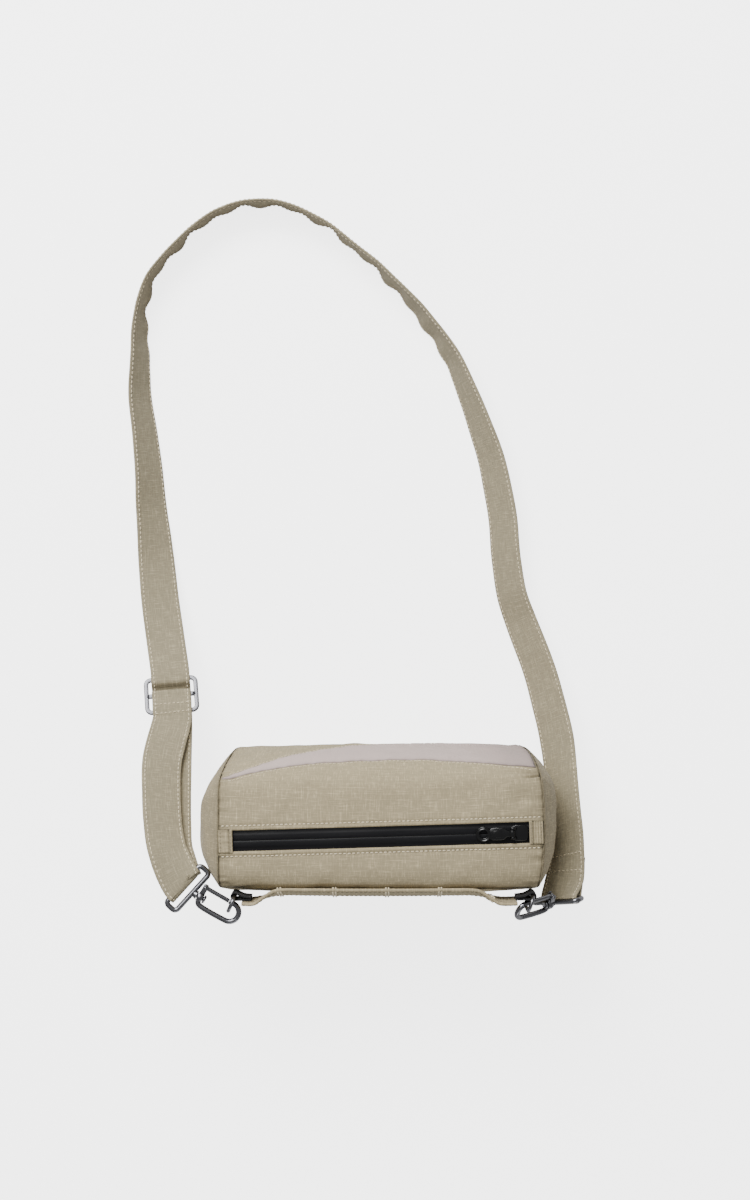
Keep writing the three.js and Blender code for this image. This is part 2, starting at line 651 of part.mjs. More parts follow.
// Snap hooks. Each hangs in its own frame: along runs from the strap loop's near bar to the hook's bend,
// across runs from the gate to the spine, and the hook lies in the plane of the two.
const HOOKS = {
  left: {
    crossing: vec(RING_FROM_SEAM_LEFT - HALF_TOP, RING_INSIDE_BELLY - HALF_DEPTH, BAND_HEIGHT + 2.5),
    along: vec(0.865, -0.5, 0),
    across: vec(-0.5, -0.865, 0),
    bar: vec(0.65, 0.71, -0.13),
    far: vec(-0.71, 0.65, 0),
    ringOut: vec(-0.41, -0.91, 0),
    foldTurnDeg: 10,
  },
  right: {
    crossing: vec(HALF_TOP - RING_FROM_SEAM_RIGHT, RING_INSIDE_BELLY - HALF_DEPTH, BAND_HEIGHT + 2),
    along: vec(-0.8, -0.13, 0.585),
    across: vec(-0.22, -0.83, -0.51),
    bar: vec(0.83, 0.14, 0.54),
    far: vec(0.533, 0.085, -0.842),
    ringOut: vec(-0.33, -0.944, 0),
    foldTurnDeg: 45,
  },
};
const GATE_OFFSET = HOOK_SPINE_OFFSET - HOOK_WIDTH; // the swivel axis to the gate
const CROSSING_ALONG = 23.8; // where the ring on the band crosses the hook's nose
const LOOP_LENGTH = STRAP_WIDTH + 2 * LOOP_SIDE_CLEARANCE + LOOP_WIRE;
const LOOP_DEPTH = LOOP_INSIDE_DEPTH + LOOP_WIRE;
const D_RING_DEPTH = D_RING_INSIDE_DEPTH + D_RING_WIRE;
const D_RING_HEIGHT = D_RING_INSIDE_HEIGHT + D_RING_WIRE;
const CROSSING_FROM_BAR = D_RING_WIRE / 2 + LAY_GAP + TAB_THICKNESS + TAB_HOOK_GAP + HOOK_WIRE / 2;

for (const hook of Object.values(HOOKS)) {
  hook.along.normalize();
  hook.across.addScaledVector(hook.along, -hook.along.dot(hook.across)).normalize();
  hook.face = hook.along.clone().cross(hook.across);
  hook.bar.normalize();
  hook.far.addScaledVector(hook.bar, -hook.bar.dot(hook.far)).normalize();
  hook.loopFace = hook.bar.clone().cross(hook.far);
  hook.at = hook.crossing.clone()
    .addScaledVector(hook.along, -CROSSING_ALONG)
    .addScaledVector(hook.across, -GATE_OFFSET);
  hook.farBar = hook.at.clone().addScaledVector(hook.far, LOOP_DEPTH);
  hook.ringBar = hook.crossing.clone().addScaledVector(hook.ringOut.normalize(), -CROSSING_FROM_BAR);
}

// The hook's wire: nose, bend, spine and base, then the eye for the stud and two ears for the gate.
function hookGeometry() {
  const bendRadius = HOOK_WIDTH / 2;
  const cornerRadius = 2.6;
  const nose = GATE_END + GATE_NOSE_GAP;
  const points = [vec(nose, GATE_OFFSET, 0), vec(HOOK_BEND_START, GATE_OFFSET, 0)];
  const bendMiddle = (HOOK_SPINE_OFFSET + GATE_OFFSET) / 2;
  const bendSteps = 10;
  for (let k = 1; k < bendSteps; k++) {
    const angle = Math.PI * k / bendSteps;
    points.push(vec(
      HOOK_BEND_START + bendRadius * Math.sin(angle),
      bendMiddle - bendRadius * Math.cos(angle),
      0,
    ));
  }
  points.push(vec(HOOK_BEND_START, HOOK_SPINE_OFFSET, 0));
  points.push(vec(HOOK_BASE + cornerRadius, HOOK_SPINE_OFFSET, 0));
  points.push(vec(HOOK_BASE + cornerRadius * 0.3, HOOK_SPINE_OFFSET - cornerRadius * 0.3, 0));
  points.push(vec(HOOK_BASE, HOOK_SPINE_OFFSET - cornerRadius, 0));
  points.push(vec(HOOK_BASE, GATE_OFFSET + GATE_WIRE, 0));
  const steps = 34;
  const curve = new THREE.CatmullRomCurve3(points, false, 'centripetal');
  const wire = wireGeometry(curve, HOOK_WIRE, steps, 4);
  const eyeLength = HOOK_WIRE;
  const eyeRadius = HOOK_WIRE / 2 + 1.5;
  const eye = new THREE.CylinderGeometry(eyeRadius, eyeRadius, eyeLength, 14);
  eye.rotateZ(Math.PI / 2);
  eye.translate(HOOK_BASE, 0, 0);
  const boreRadius = STUD_RADIUS + STUD_CLEARANCE;
  const bore = new THREE.CylinderGeometry(boreRadius, boreRadius, 3 * eyeLength, 12);
  bore.rotateZ(Math.PI / 2);
  bore.translate(HOOK_BASE, 0, 0);
  const earOffset = GATE_WIRE / 2 + LAY_GAP + GATE_EAR / 2;
  const ears = [-1, 1].map((side) => {
    const ear = new THREE.BoxGeometry(HOOK_WIRE * 0.9, 2 * GATE_WIRE + 0.6, GATE_EAR);
    ear.translate(HOOK_BASE, GATE_OFFSET + GATE_WIRE * 0.5 + 0.2, side * earOffset);
    return ear;
  });
  const pin = new THREE.CylinderGeometry(GATE_PIN_RADIUS, GATE_PIN_RADIUS, 2 * earOffset, 10);
  pin.rotateX(Math.PI / 2);
  pin.translate(HOOK_BASE, GATE_OFFSET, 0);
  const gateRoom = new THREE.CylinderGeometry(GATE_WIRE / 2 + 0.6, GATE_WIRE / 2 + 0.6, 2 * (earOffset - GATE_EAR / 2), 14);
  gateRoom.rotateX(Math.PI / 2);
  gateRoom.translate(HOOK_BASE, GATE_OFFSET, 0);
  const body = joined([wire, eye, ...ears]);
  return toGeometry(body.subtract(toSolid(gateRoom)).subtract(toSolid(bore)).add(toSolid(pin)));
}

// The gate: a bar from an eye on its pin to a flat end that meets the nose.
function gateGeometry() {
  const bar = new THREE.CylinderGeometry(GATE_WIRE / 2, GATE_WIRE / 2, GATE_END - HOOK_BASE, 12);
  bar.rotateZ(Math.PI / 2);
  bar.translate((GATE_END - HOOK_BASE) / 2, 0, 0);
  const eyeRadius = GATE_WIRE / 2 + 0.3;
  const eye = new THREE.CylinderGeometry(eyeRadius, eyeRadius, GATE_WIRE, 14);
  eye.rotateX(Math.PI / 2);
  const boreRadius = GATE_PIN_RADIUS + GATE_PIN_CLEARANCE;
  const bore = new THREE.CylinderGeometry(boreRadius, boreRadius, 2 * GATE_WIRE, 12);
  bore.rotateX(Math.PI / 2);
  return toGeometry(joined([bar, eye]).subtract(toSolid(bore)));
}

// The strap loop: a rounded wire ring round the strap's fold, with the swivel stud on its near bar.
function loopGeometry(hook) {
  const middle = hook.farBar.clone().addScaledVector(hook.far, -LOOP_DEPTH / 2);
  const ring = closedWire(
    roundedPoints(middle, hook.bar, hook.far, LOOP_LENGTH, LOOP_DEPTH, LOOP_DEPTH * 0.32, 3),
    LOOP_WIRE,
    8,
  );
  const turn = new THREE.Quaternion().setFromUnitVectors(vec(0, 1, 0), hook.along);
  const headStart = HOOK_BASE + HOOK_WIRE / 2 + STUD_CLEARANCE;
  const stud = new THREE.CylinderGeometry(STUD_RADIUS, STUD_RADIUS, headStart + STUD_HEAD_LENGTH, 12);
  stud.translate(0, (headStart + STUD_HEAD_LENGTH) / 2, 0);
  const head = new THREE.CylinderGeometry(STUD_HEAD_RADIUS * 0.8, STUD_HEAD_RADIUS, STUD_HEAD_LENGTH, 12);
  head.translate(0, headStart + STUD_HEAD_LENGTH / 2, 0);
  const collarLength = HOOK_BASE - HOOK_WIRE / 2 - STUD_CLEARANCE;
  const collar = new THREE.CylinderGeometry(STUD_HEAD_RADIUS, LOOP_WIRE / 2, collarLength, 12);
  collar.translate(0, collarLength / 2, 0);
  const swivel = [stud, head, collar].map((piece) => {
    piece.applyQuaternion(turn);
    piece.translate(hook.at.x, hook.at.y, hook.at.z);
    return piece;
  });
  return toGeometry(joined([ring, ...swivel]));
}

// The small ring: an upright bar in the tab, and a bow that the hook goes through.
function dRingGeometry(hook) {
  const middle = hook.ringBar.clone().addScaledVector(hook.ringOut, D_RING_DEPTH / 2);
  return closedWire(
    roundedPoints(middle, vec(0, 0, 1), hook.ringOut, D_RING_HEIGHT, D_RING_DEPTH, D_RING_DEPTH * 0.4, 3),
    D_RING_WIRE,
    8,
  );
}

for (const [side, hook] of Object.entries(HOOKS)) {
  const hookGroup = new THREE.Group();
  const basis = new THREE.Matrix4().makeBasis(hook.along, hook.across, hook.face);
  hookGroup.applyMatrix4(basis.setPosition(hook.at));
  group.add(hookGroup);
  add(hookGroup, `hook_${side}`, hookGeometry(), COLOURS.gunmetal);
  const gate = add(hookGroup, `gate_${side}`, gateGeometry(), COLOURS.gunmetal);
  gate.position.set(HOOK_BASE, GATE_OFFSET, 0);
  add(group, `strap_loop_${side}`, loopGeometry(hook), COLOURS.gunmetal);
  add(group, `d_ring_${side}`, dRingGeometry(hook), COLOURS.gunmetal);
}

// Back band: sewn flat to the back in the middle, with free ends that reach the rings. A row's share is
// of the way from the middle of the band to the ring, and its lift is the way off the back as a share of
// the ring's own distance from it.
const BAND_ROWS = [
  { share: -0.95, lift: 1, upright: 1 },
  { share: -0.87, lift: 1, upright: 1 },
  { share: -0.79, lift: 0.55, upright: 0.4 },
  { share: -0.71, lift: 0.1, upright: 0 },
  { share: -0.5, lift: 0, upright: 0 },
  { share: -0.25, lift: 0, upright: 0 },
  { share: 0, lift: 0, upright: 0 },
  { share: 0.25, lift: 0, upright: 0 },
  { share: 0.5, lift: 0, upright: 0 },
  { share: 0.64, lift: 0.1, upright: 0 },
  { share: 0.72, lift: 0.6, upright: 0.5 },
  { share: 0.79, lift: 1, upright: 1 },
  { share: 0.9, lift: 1, upright: 1 },
];

// A flat strip's middle and lean on the bag's back at some x, so that it only just clears it.
function bandSeat(x, thickness) {
  const half = BAND_WIDTH / 2;
  const heights = [-1, -0.5, 0, 0.5, 1].map((k) => BAND_HEIGHT + k * half * 0.93);
  const depths = heights.map((z) => facePoint(x, BACK_SPAN, 'z', Math.min(z, BAG_HEIGHT * 0.95)).y);
  const slope = (depths[4] - depths[0]) / (heights[4] - heights[0]);
  const sag = Math.min(...heights.map((z, i) => depths[i] - (depths[0] + slope * (z - heights[0]))));
  const y = depths[0] + slope * (BAND_HEIGHT - heights[0]) + sag - LAY_GAP - thickness / 2;
  return { y, slope };
}

function bandGeometry() {
  const stations = BAND_ROWS.map((row) => {
    const hook = row.share < 0 ? HOOKS.left : HOOKS.right;
    const x = Math.abs(row.share) * hook.ringBar.x;
    const seat = bandSeat(x, BAND_THICKNESS);
    const ringY = hook.ringBar.y - D_RING_WIRE / 2 - LAY_GAP - TAB_THICKNESS - LAY_GAP - BAND_THICKNESS / 2;
    const y = lerp(seat.y, ringY, row.lift);
    const slope = lerp(seat.slope, 0, row.upright);
    return { at: vec(x, y, BAND_HEIGHT), across: vec(0, slope, 1).normalize() };
  });
  return ribbonGeometry(smoothStations(stations, 3), BAND_WIDTH, BAND_THICKNESS);
}

add(group, 'back_band', bandGeometry(), COLOURS.cloth);

// Webbing tabs: each folds round the upright bar of its ring, inside the band's free end.
function tabGeometry(side, hook) {
  const inward = vec(-side, 0, 0);
  const out = vec(0, -1, 0);
  const radius = D_RING_WIRE / 2 + LAY_GAP + TAB_THICKNESS / 2;
  const stations = [];
  const reach = (distance, lift) => hook.ringBar.clone()
    .addScaledVector(inward, distance)
    .addScaledVector(out, lift)
    .setZ(hook.crossing.z - 1);
  const across = vec(0, 0, 1);
  stations.push({ at: reach(TAB_LENGTH, radius), across });
  stations.push({ at: reach(TAB_LENGTH * 0.5, radius), across });
  const turns = 6;
  for (let k = 0; k <= turns; k++) {
    const angle = Math.PI * k / turns;
    stations.push({
      at: reach(-radius * Math.sin(angle), radius * Math.cos(angle)),
      across,
    });
  }
  stations.push({ at: reach(TAB_LENGTH * 0.5, -radius * 0.6), across });
  stations.push({ at: reach(TAB_LENGTH, radius - TAB_THICKNESS - LAY_GAP), across });
  return ribbonGeometry(stations, TAB_WIDTH, TAB_THICKNESS);
}

add(group, 'ring_tab_left', tabGeometry(-1, HOOKS.left), COLOURS.webbing);
add(group, 'ring_tab_right', tabGeometry(1, HOOKS.right), COLOURS.webbing);

// Adjuster: a flat frame with a middle bar, and its own frame. Along runs towards the left-hand hook.
const ADJUSTER = {
  at: vec(-0.836 * LOOP_HALF_WIDTH, 0.194 * LOOP_REACH, 0.322 * BAG_HEIGHT),
  along: vec(0.1, -0.925, 0.365).normalize(),
  across: vec(0.994, 0.075, -0.083),
};
ADJUSTER.across.addScaledVector(ADJUSTER.along, -ADJUSTER.along.dot(ADJUSTER.across)).normalize();
ADJUSTER.face = ADJUSTER.along.clone().cross(ADJUSTER.across);
const ADJUSTER_WIDTH = STRAP_WIDTH + 2 * (ADJUSTER_SIDE_CLEARANCE + ADJUSTER_BAR);
const ADJUSTER_PITCH = (ADJUSTER_LENGTH - ADJUSTER_BAR) / 2;

function roundedRectangle(target, length, width, radius) {
  const x = length / 2;
  const y = width / 2;
  target.moveTo(-x + radius, -y);
  target.lineTo(x - radius, -y);
  target.absarc(x - radius, -y + radius, radius, -Math.PI / 2, 0);
  target.absarc(x - radius, y - radius, radius, 0, Math.PI / 2);
  target.absarc(-x + radius, y - radius, radius, Math.PI / 2, Math.PI);
  target.absarc(-x + radius, -y + radius, radius, Math.PI, Math.PI * 1.5);
  return target;
}

function adjusterGeometry() {
  const shape = roundedRectangle(new THREE.Shape(), ADJUSTER_LENGTH, ADJUSTER_WIDTH, ADJUSTER_CORNER);
  const windowLength = ADJUSTER_PITCH - ADJUSTER_BAR;
  for (const side of [-1, 1]) {
    const hole = roundedRectangle(
      new THREE.Path(),
      windowLength,
      ADJUSTER_WIDTH - 2 * ADJUSTER_BAR,
      ADJUSTER_CORNER * 0.45,
    );
    const shifted = hole.getPoints(3).map((p) => new THREE.Vector2(p.x + side * ADJUSTER_PITCH / 2, p.y));
    shape.holes.push(new THREE.Path(shifted));
  }
  const geometry = new THREE.ExtrudeGeometry(shape, {
    depth: ADJUSTER_THICKNESS,
    bevelEnabled: false,
    curveSegments: 4,
  });
  geometry.translate(0, 0, -ADJUSTER_THICKNESS / 2);
  return geometry;
}

const adjusterGroup = new THREE.Group();
adjusterGroup.applyMatrix4(new THREE.Matrix4()
  .makeBasis(ADJUSTER.along, ADJUSTER.across, ADJUSTER.face)
  .setPosition(ADJUSTER.at));
group.add(adjusterGroup);
add(adjusterGroup, 'adjuster', adjusterGeometry(), COLOURS.nickel);

// The strap, in one piece: a tail sewn back at the right-hand hook, the free run round to the adjuster,
// down to the left-hand hook and back up to the adjuster's middle bar.
const HALF_STRAP = STRAP_THICKNESS / 2;
const LOOP_FOLD = LOOP_WIRE / 2 + LAY_GAP + HALF_STRAP;
const OVER_BAR = ADJUSTER_THICKNESS / 2 + LAY_GAP + HALF_STRAP;

// A direction turned towards another one that is square to it.
function turned(direction, towards, degrees) {
  const angle = THREE.MathUtils.degToRad(degrees);
  return direction.clone().multiplyScalar(Math.cos(angle)).addScaledVector(towards, Math.sin(angle));
}

function foldStations(middle, across, from, side, radius, turns) {
  const stations = [];
  for (let k = 0; k <= turns; k++) {
    const angle = Math.PI * k / turns;
    const at = middle.clone()
      .addScaledVector(from, radius * Math.cos(angle))
      .addScaledVector(side, radius * Math.sin(angle));
    stations.push({ at, across: across.clone(), fine: k < turns });
  }
  return stations;
}

function routeStation(row, before, after) {
  const lean = THREE.MathUtils.degToRad(row.lean);
  const resting = STRAP_WIDTH / 2 * Math.sin(lean) + HALF_STRAP * Math.cos(lean);
  const z = row.lift ? row.lift * BAG_HEIGHT : resting + LAY_GAP;
  const along = vec((after.across - before.across) * LOOP_HALF_WIDTH, (after.along - before.along) * LOOP_REACH, 0);
  const out = vec(along.y, -along.x, 0).normalize();
  const across = out.multiplyScalar(Math.cos(lean)).add(vec(0, 0, Math.sin(lean)));
  return { at: vec(row.across * LOOP_HALF_WIDTH, row.along * LOOP_REACH, z), across };
}

function routeStations() {
  return STRAP_ROUTE.map((row, i) => routeStation(
    row,
    STRAP_ROUTE[Math.max(i - 1, 0)],
    STRAP_ROUTE[Math.min(i + 1, STRAP_ROUTE.length - 1)],
  ));
}

// A station in the adjuster's own frame: a share of the pitch along it, and a height above its middle plane.
function adjusterStation(along, above) {
  const at = ADJUSTER.at.clone()
    .addScaledVector(ADJUSTER.along, along * ADJUSTER_PITCH)
    .addScaledVector(ADJUSTER.face, above);
  return { at, across: ADJUSTER.across.clone().negate(), fine: true };
}

function layerStation(shares, leanDeg) {
  const lean = THREE.MathUtils.degToRad(leanDeg);
  const at = vec(shares[0] * LOOP_HALF_WIDTH, shares[1] * LOOP_REACH, shares[2] * BAG_HEIGHT);
  return { at, across: vec(-Math.cos(lean), 0, Math.sin(lean)) };
}

// The strap's way through the adjuster, from under the middle bar to over either end bar. Along is a
// share of the bars' pitch, and above goes from 0 under the middle bar to 1 over the end bar.
const THREADED = [
  { along: 0, above: 0 },
  { along: 0.226, above: 0 },
  { along: 0.452, above: 0.133 },
  { along: 0.597, above: 0.4 },
  { along: 0.679, above: 0.7 },
  { along: 0.769, above: 0.933 },
  { along: 0.878, above: 1 },
  { along: 1, above: 1 },
  { along: 1.176, above: 1 },
  { along: 1.45, above: 0.97 },
];

// The sewn end's way from over the lower end bar to its fold round the middle bar. Above is a share of
// the height at which the strap just clears a bar.
const SEWN_END = [
  { along: 1.45, above: 1.95 },
  { along: 1.176, above: 2 },
  { along: 1, above: 2 },
  { along: 0.778, above: 1.85 },
  { along: 0.452, above: 1.45 },
  { along: 0.226, above: 1.1 },
  { along: 0.09, above: 1 },
  { along: -0.131, above: 1 },
  { along: -0.202, above: 0.84 },
  { along: -0.231, above: 0.45 },
  { along: -0.231, above: -0.45 },
  { along: -0.202, above: -0.84 },
  { along: -0.131, above: -1 },
  { along: 0.16, above: -1.02 },
];

function strapStations() {
  const left = HOOKS.left;
  const right = HOOKS.right;
  const rightFrom = turned(right.far, right.loopFace.clone().negate(), right.foldTurnDeg);
  const rightSide = turned(right.loopFace.clone().negate(), right.far.clone().negate(), right.foldTurnDeg);
  const rightFold = foldStations(right.farBar, right.bar, rightFrom, rightSide, LOOP_FOLD, 6);
  const tailStep = (distance) => ({
    at: rightFold[0].at.clone().addScaledVector(rightSide, -distance),
    across: right.bar.clone(),
  });
  const route = routeStations();
  const under = -OVER_BAR - STRAP_THICKNESS - STRAP_GAP;
  const threaded = THREADED.map((row) => ({ along: row.along, above: lerp(under, OVER_BAR, row.above) }));
  const backs = DOUBLED_LAYERS.map((row) => layerStation(row.back, row.lean)).reverse();
  const fronts = DOUBLED_LAYERS.map((row) => layerStation(row.front, row.lean));
  const leftAcross = left.bar.clone().negate();
  const leftFrom = turned(left.loopFace, left.far, left.foldTurnDeg).negate();
  const leftSide = turned(left.far, left.loopFace.clone().negate(), left.foldTurnDeg).negate();
  const leftFold = foldStations(left.farBar, leftAcross, leftFrom, leftSide, LOOP_FOLD, 6);
  return [
    tailStep(STRAP_TAIL),
    tailStep(STRAP_TAIL * 0.4),
    ...rightFold,
    ...route,
    ...threaded.slice(1).reverse().map((row) => adjusterStation(-row.along, row.above)),
    ...threaded.map((row) => adjusterStation(row.along, row.above)),
    ...backs,
    ...leftFold,
    ...fronts,
    ...SEWN_END.map((row) => adjusterStation(row.along, row.above * OVER_BAR)),
  ];
}

// Lifts a station whose lower edge would go under the surface.
function settled(station) {
  const { at, across } = station;
  const below = Math.abs(across.z) * STRAP_WIDTH / 2 + HALF_STRAP * Math.hypot(across.x, across.y);
  return { at: at.clone().setZ(Math.max(at.z, below)), across };
}

function strapGeometry() {
  const stations = smoothStations(strapStations(), 3).map(settled);
  return ribbonGeometry(stations, STRAP_WIDTH, STRAP_THICKNESS);
}

add(group, 'strap', strapGeometry(), COLOURS.cloth);

export default group;
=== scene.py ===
"""Looks for a small belt bag of ripstop cloth that stands on its base, its strap laid round in front.

Millimetres inside the script, with +Y out of the bag's front and +Z up; meshes are made in metres.
"""

import math

import bpy
import numpy as np
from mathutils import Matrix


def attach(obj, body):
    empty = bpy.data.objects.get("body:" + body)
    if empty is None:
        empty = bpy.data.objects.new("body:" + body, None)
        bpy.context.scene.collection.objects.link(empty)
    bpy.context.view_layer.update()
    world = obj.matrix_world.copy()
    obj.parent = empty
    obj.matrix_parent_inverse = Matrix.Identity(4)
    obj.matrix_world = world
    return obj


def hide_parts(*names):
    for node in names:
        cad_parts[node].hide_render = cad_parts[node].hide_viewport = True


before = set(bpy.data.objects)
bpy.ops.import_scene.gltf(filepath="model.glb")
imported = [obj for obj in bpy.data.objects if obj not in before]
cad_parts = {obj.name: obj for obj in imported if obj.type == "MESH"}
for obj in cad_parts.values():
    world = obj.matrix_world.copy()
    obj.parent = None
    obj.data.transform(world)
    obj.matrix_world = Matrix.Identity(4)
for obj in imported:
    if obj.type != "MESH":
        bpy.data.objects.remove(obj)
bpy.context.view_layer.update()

MM = 0.001
SEED = 7
HALF_TURN = np.pi * np.arange(7) / 6
UP = np.array([0.0, 0.0, 1.0])

# Camera: straight above, over the middle of what it sees
CAMERA_X = -2.4
CAMERA_Y = 139.0
CAMERA_HEIGHT = 1200.0
VIEW_HEIGHT_AT_FLOOR = 800.0
SENSOR = 36.0

# Bag
HALF_TOP = 97.0
HALF_BASE = 91.5
BAG_HEIGHT = 118.0
HALF_DEPTH = 46.0
END_PULL = 2.6
GUSSET_BULGE = {"left": 18.0, "right": 16.0}
RIGHT_FULLNESS = 6.5
RIGHT_CORNER_FULLNESS = 1.1
RIGHT_SWELL = 2.8
GUSSET_FULLNESS = 2.2
GUSSET_MIDDLE = np.array([-0.02 * HALF_DEPTH, 0.46 * BAG_HEIGHT])
CLOTH = 0.7
ROLL = 0.9
ROLLED_ROWS = 6
SEAM_REACH = 45.0
RIM_POINTS = 180
SEAM_GROOVE = 0.6
ZIP_LIP = 0.4
DEEPEST_DENT = 2.6
HIGHEST_RIPPLE = 0.8

# Zip
ZIP_X = 1.5
ZIP_Y = -3.6
ZIP_TURN = math.radians(1.67)
WINDOW_WIDTH = 12.7
TAPE_DEPTH = 1.9
PATCH_WIDTH = 14.4
PATCH_LEFT_LENGTH = 8.6
PATCH_RIGHT_LENGTH = 6.2
PATCH_RISE = 1.1
STITCH_FROM_ZIP = 2.9
SLIDER_LENGTH = 11.0
SLIDER_WIDTH = 9.6
SLIDER_PLATE = 1.6
PULLER_LENGTH = 17.3
PULLER_WIDTH = 7.6
PULLER_PLATE = 1.5
PULLER_RING_MIDDLE = 3.5
PULLER_RING_REACH = 4.5
EYE_RADIUS = 1.7

# Band and rings
BAND_WIDTH = 25.0
BAND_THICKNESS = 2.2
BAND_HEIGHT = 103.0
BAND_STITCH_INSET = 2.3
BAND_TACKS = (-60, -27, 5, 37, 68)
TACK_ROWS = [-0.8, 0.8]
TAB_WIDTH = 14.4
TAB_THICKNESS = 1.0
TAB_LENGTH = 10.0
TAB_HOOK_GAP = 0.6
D_RING_WIRE = 2.6
D_RING_DEPTH = 8.8
D_RING_HEIGHT = 23.6

# The wires are a little slimmer than the solids', so that they keep clear where a hook has turned
D_RING_SLIMMED = 0.92
HOOK_SLIMMED = 0.95

# Hooks
HOOK_WIRE = 3.6
HOOK_WIDTH = 11.4
HOOK_BEND_START = 25.3
HOOK_BASE = 5.4
SPINE = 4.7
GATE_SIDE = SPINE - HOOK_WIDTH
GATE_WIRE = 2.6
GATE_END = 21.8
EAR_OUTLINE = [(-1.672, -2.1), (-0.968, -2.9), (0.968, -2.9), (1.672, -2.1), (1.672, 2.2), (-1.672, 2.2)]
LOOP_WIRE = 3.3
LOOP_LENGTH = 25.0 + 2 * 1.2 + LOOP_WIRE
LOOP_DEPTH = 4.6 + LOOP_WIRE
CROSSING_ALONG = 23.8

# Adjuster and strap
ADJUSTER_LENGTH = 25.0
ADJUSTER_WIDTH = 34.8
ADJUSTER_BAR = 2.9
ADJUSTER_THICKNESS = 1.8
ADJUSTER_PITCH = (ADJUSTER_LENGTH - ADJUSTER_BAR) / 2
STRAP_WIDTH = 25.0
STRAP_THICKNESS = 1.6
STRAP_GAP = 0.4
STRAP_TAIL = 30.0
TAIL_SHIFT = 3.4
LAY_GAP = 0.3
LOOP_HALF_WIDTH = 160.0
LOOP_REACH = 400.0
HALF_STRAP = STRAP_THICKNESS / 2
LOOP_FOLD = LOOP_WIRE / 2 + LAY_GAP + HALF_STRAP
OVER_BAR = ADJUSTER_THICKNESS / 2 + LAY_GAP + HALF_STRAP
STRAP_CURL = math.radians(2.6)
STRAP_STITCH_INSET = 2.0
CROSS_STITCH_INSET = 1.5
TAIL_STITCHES = [6.0, 17.5]
END_STITCHES = [3.0, 9.0]
STILL_REACH = 30.0
WAVES_START_OVER = 60.0

# Once round the bag's outline from the base over the front, the top and the back.
# Columns: depth and height in the middle, depth and height at the end seams, as shares.
OUTLINE = np.array([
    (0.0, 0.0, 0.0, 0.0),
    (0.58, 0.0, 0.58, 0.0),
    (0.83, 0.03, 0.82, 0.022),
    (0.935, 0.12, 0.9, 0.1),
    (1.0, 0.25, 0.925, 0.24),
    (1.015, 0.42, 0.905, 0.42),
    (0.985, 0.635, 0.835, 0.635),
    (0.9, 0.82, 0.745, 0.82),
    (0.785, 0.915, 0.69, 0.905),
    (0.59, 0.972, 0.61, 0.955),
    (0.22, 0.996, 0.25, 0.982),
    (-0.26, 1.0, -0.26, 0.986),
    (-0.6, 0.987, -0.61, 0.976),
    (-0.745, 0.953, -0.73, 0.945),
    (-0.84, 0.847, -0.8, 0.847),
    (-0.965, 0.635, -0.89, 0.635),
    (-1.0, 0.407, -0.93, 0.407),
    (-0.945, 0.17, -0.91, 0.17),
    (-0.82, 0.034, -0.82, 0.026),
    (-0.58, 0.0, -0.58, 0.0),
])
ROWS = len(OUTLINE)

# The spans of its rows that hold the front, the top and the back
FRONT_ROWS = (3, 9)
TOP_ROWS = (8.5, 13)
BACK_ROWS = (13, 17)

# The wedge's two edges. Columns: share of the bag's length, upper and lower height as shares.
STRIPE_EDGES = np.array([
    (-1.0, 0.93, 0.92),
    (-0.93, 0.93, 0.905),
    (-0.72, 0.895, 0.8),
    (-0.45, 0.86, 0.655),
    (-0.1, 0.835, 0.47),
    (0.25, 0.83, 0.3),
    (0.6, 0.85, 0.17),
    (0.93, 0.9, 0.1),
    (1.0, 0.91, 0.085),
])

# Dents and folds in the wrap. Columns: share of the length, row of the outline, half length as a
# share, half width in rows, turn in degrees, and depth in millimetres.
DENTS = np.array([
    (0.0, 11.0, 0.75, 0.9, 0, 0.5),
    (-0.55, 9.1, 0.3, 0.35, 12, 0.5),
    (0.5, 9.3, 0.35, 0.35, -8, 0.45),
    (-0.2, 7.2, 0.3, 0.5, -10, 0.6),
    (0.3, 5.0, 0.3, 0.8, 14, 0.8),
    (-0.4, 4.2, 0.35, 0.8, -12, 0.8),
    (-0.92, 8.5, 0.07, 0.35, 40, 1.3),
    (0.965, 8.75, 0.025, 0.3, 80, 2.6),
    (0.95, 8.4, 0.05, 0.3, -55, 1.6),
    (0.86, 8.3, 0.08, 0.22, -25, 0.9),
    (0.9, 9.6, 0.05, 0.35, 60, 0.9),
    (0.84, 13.6, 0.14, 0.28, 14, 1.5),
    (0.66, 14.2, 0.16, 0.3, -8, 0.8),
    (-0.84, 13.4, 0.12, 0.26, -20, 1.2),
    (-0.3, 13.2, 0.3, 0.4, 4, 0.5),
    (0.3, 15.5, 0.4, 0.7, 8, 0.7),
    (-0.4, 16.3, 0.4, 0.7, -8, 0.7),
    (0.9, 12.6, 0.1, 0.5, 30, 0.7),
    (-0.92, 12.6, 0.1, 0.5, -30, 0.7),
])

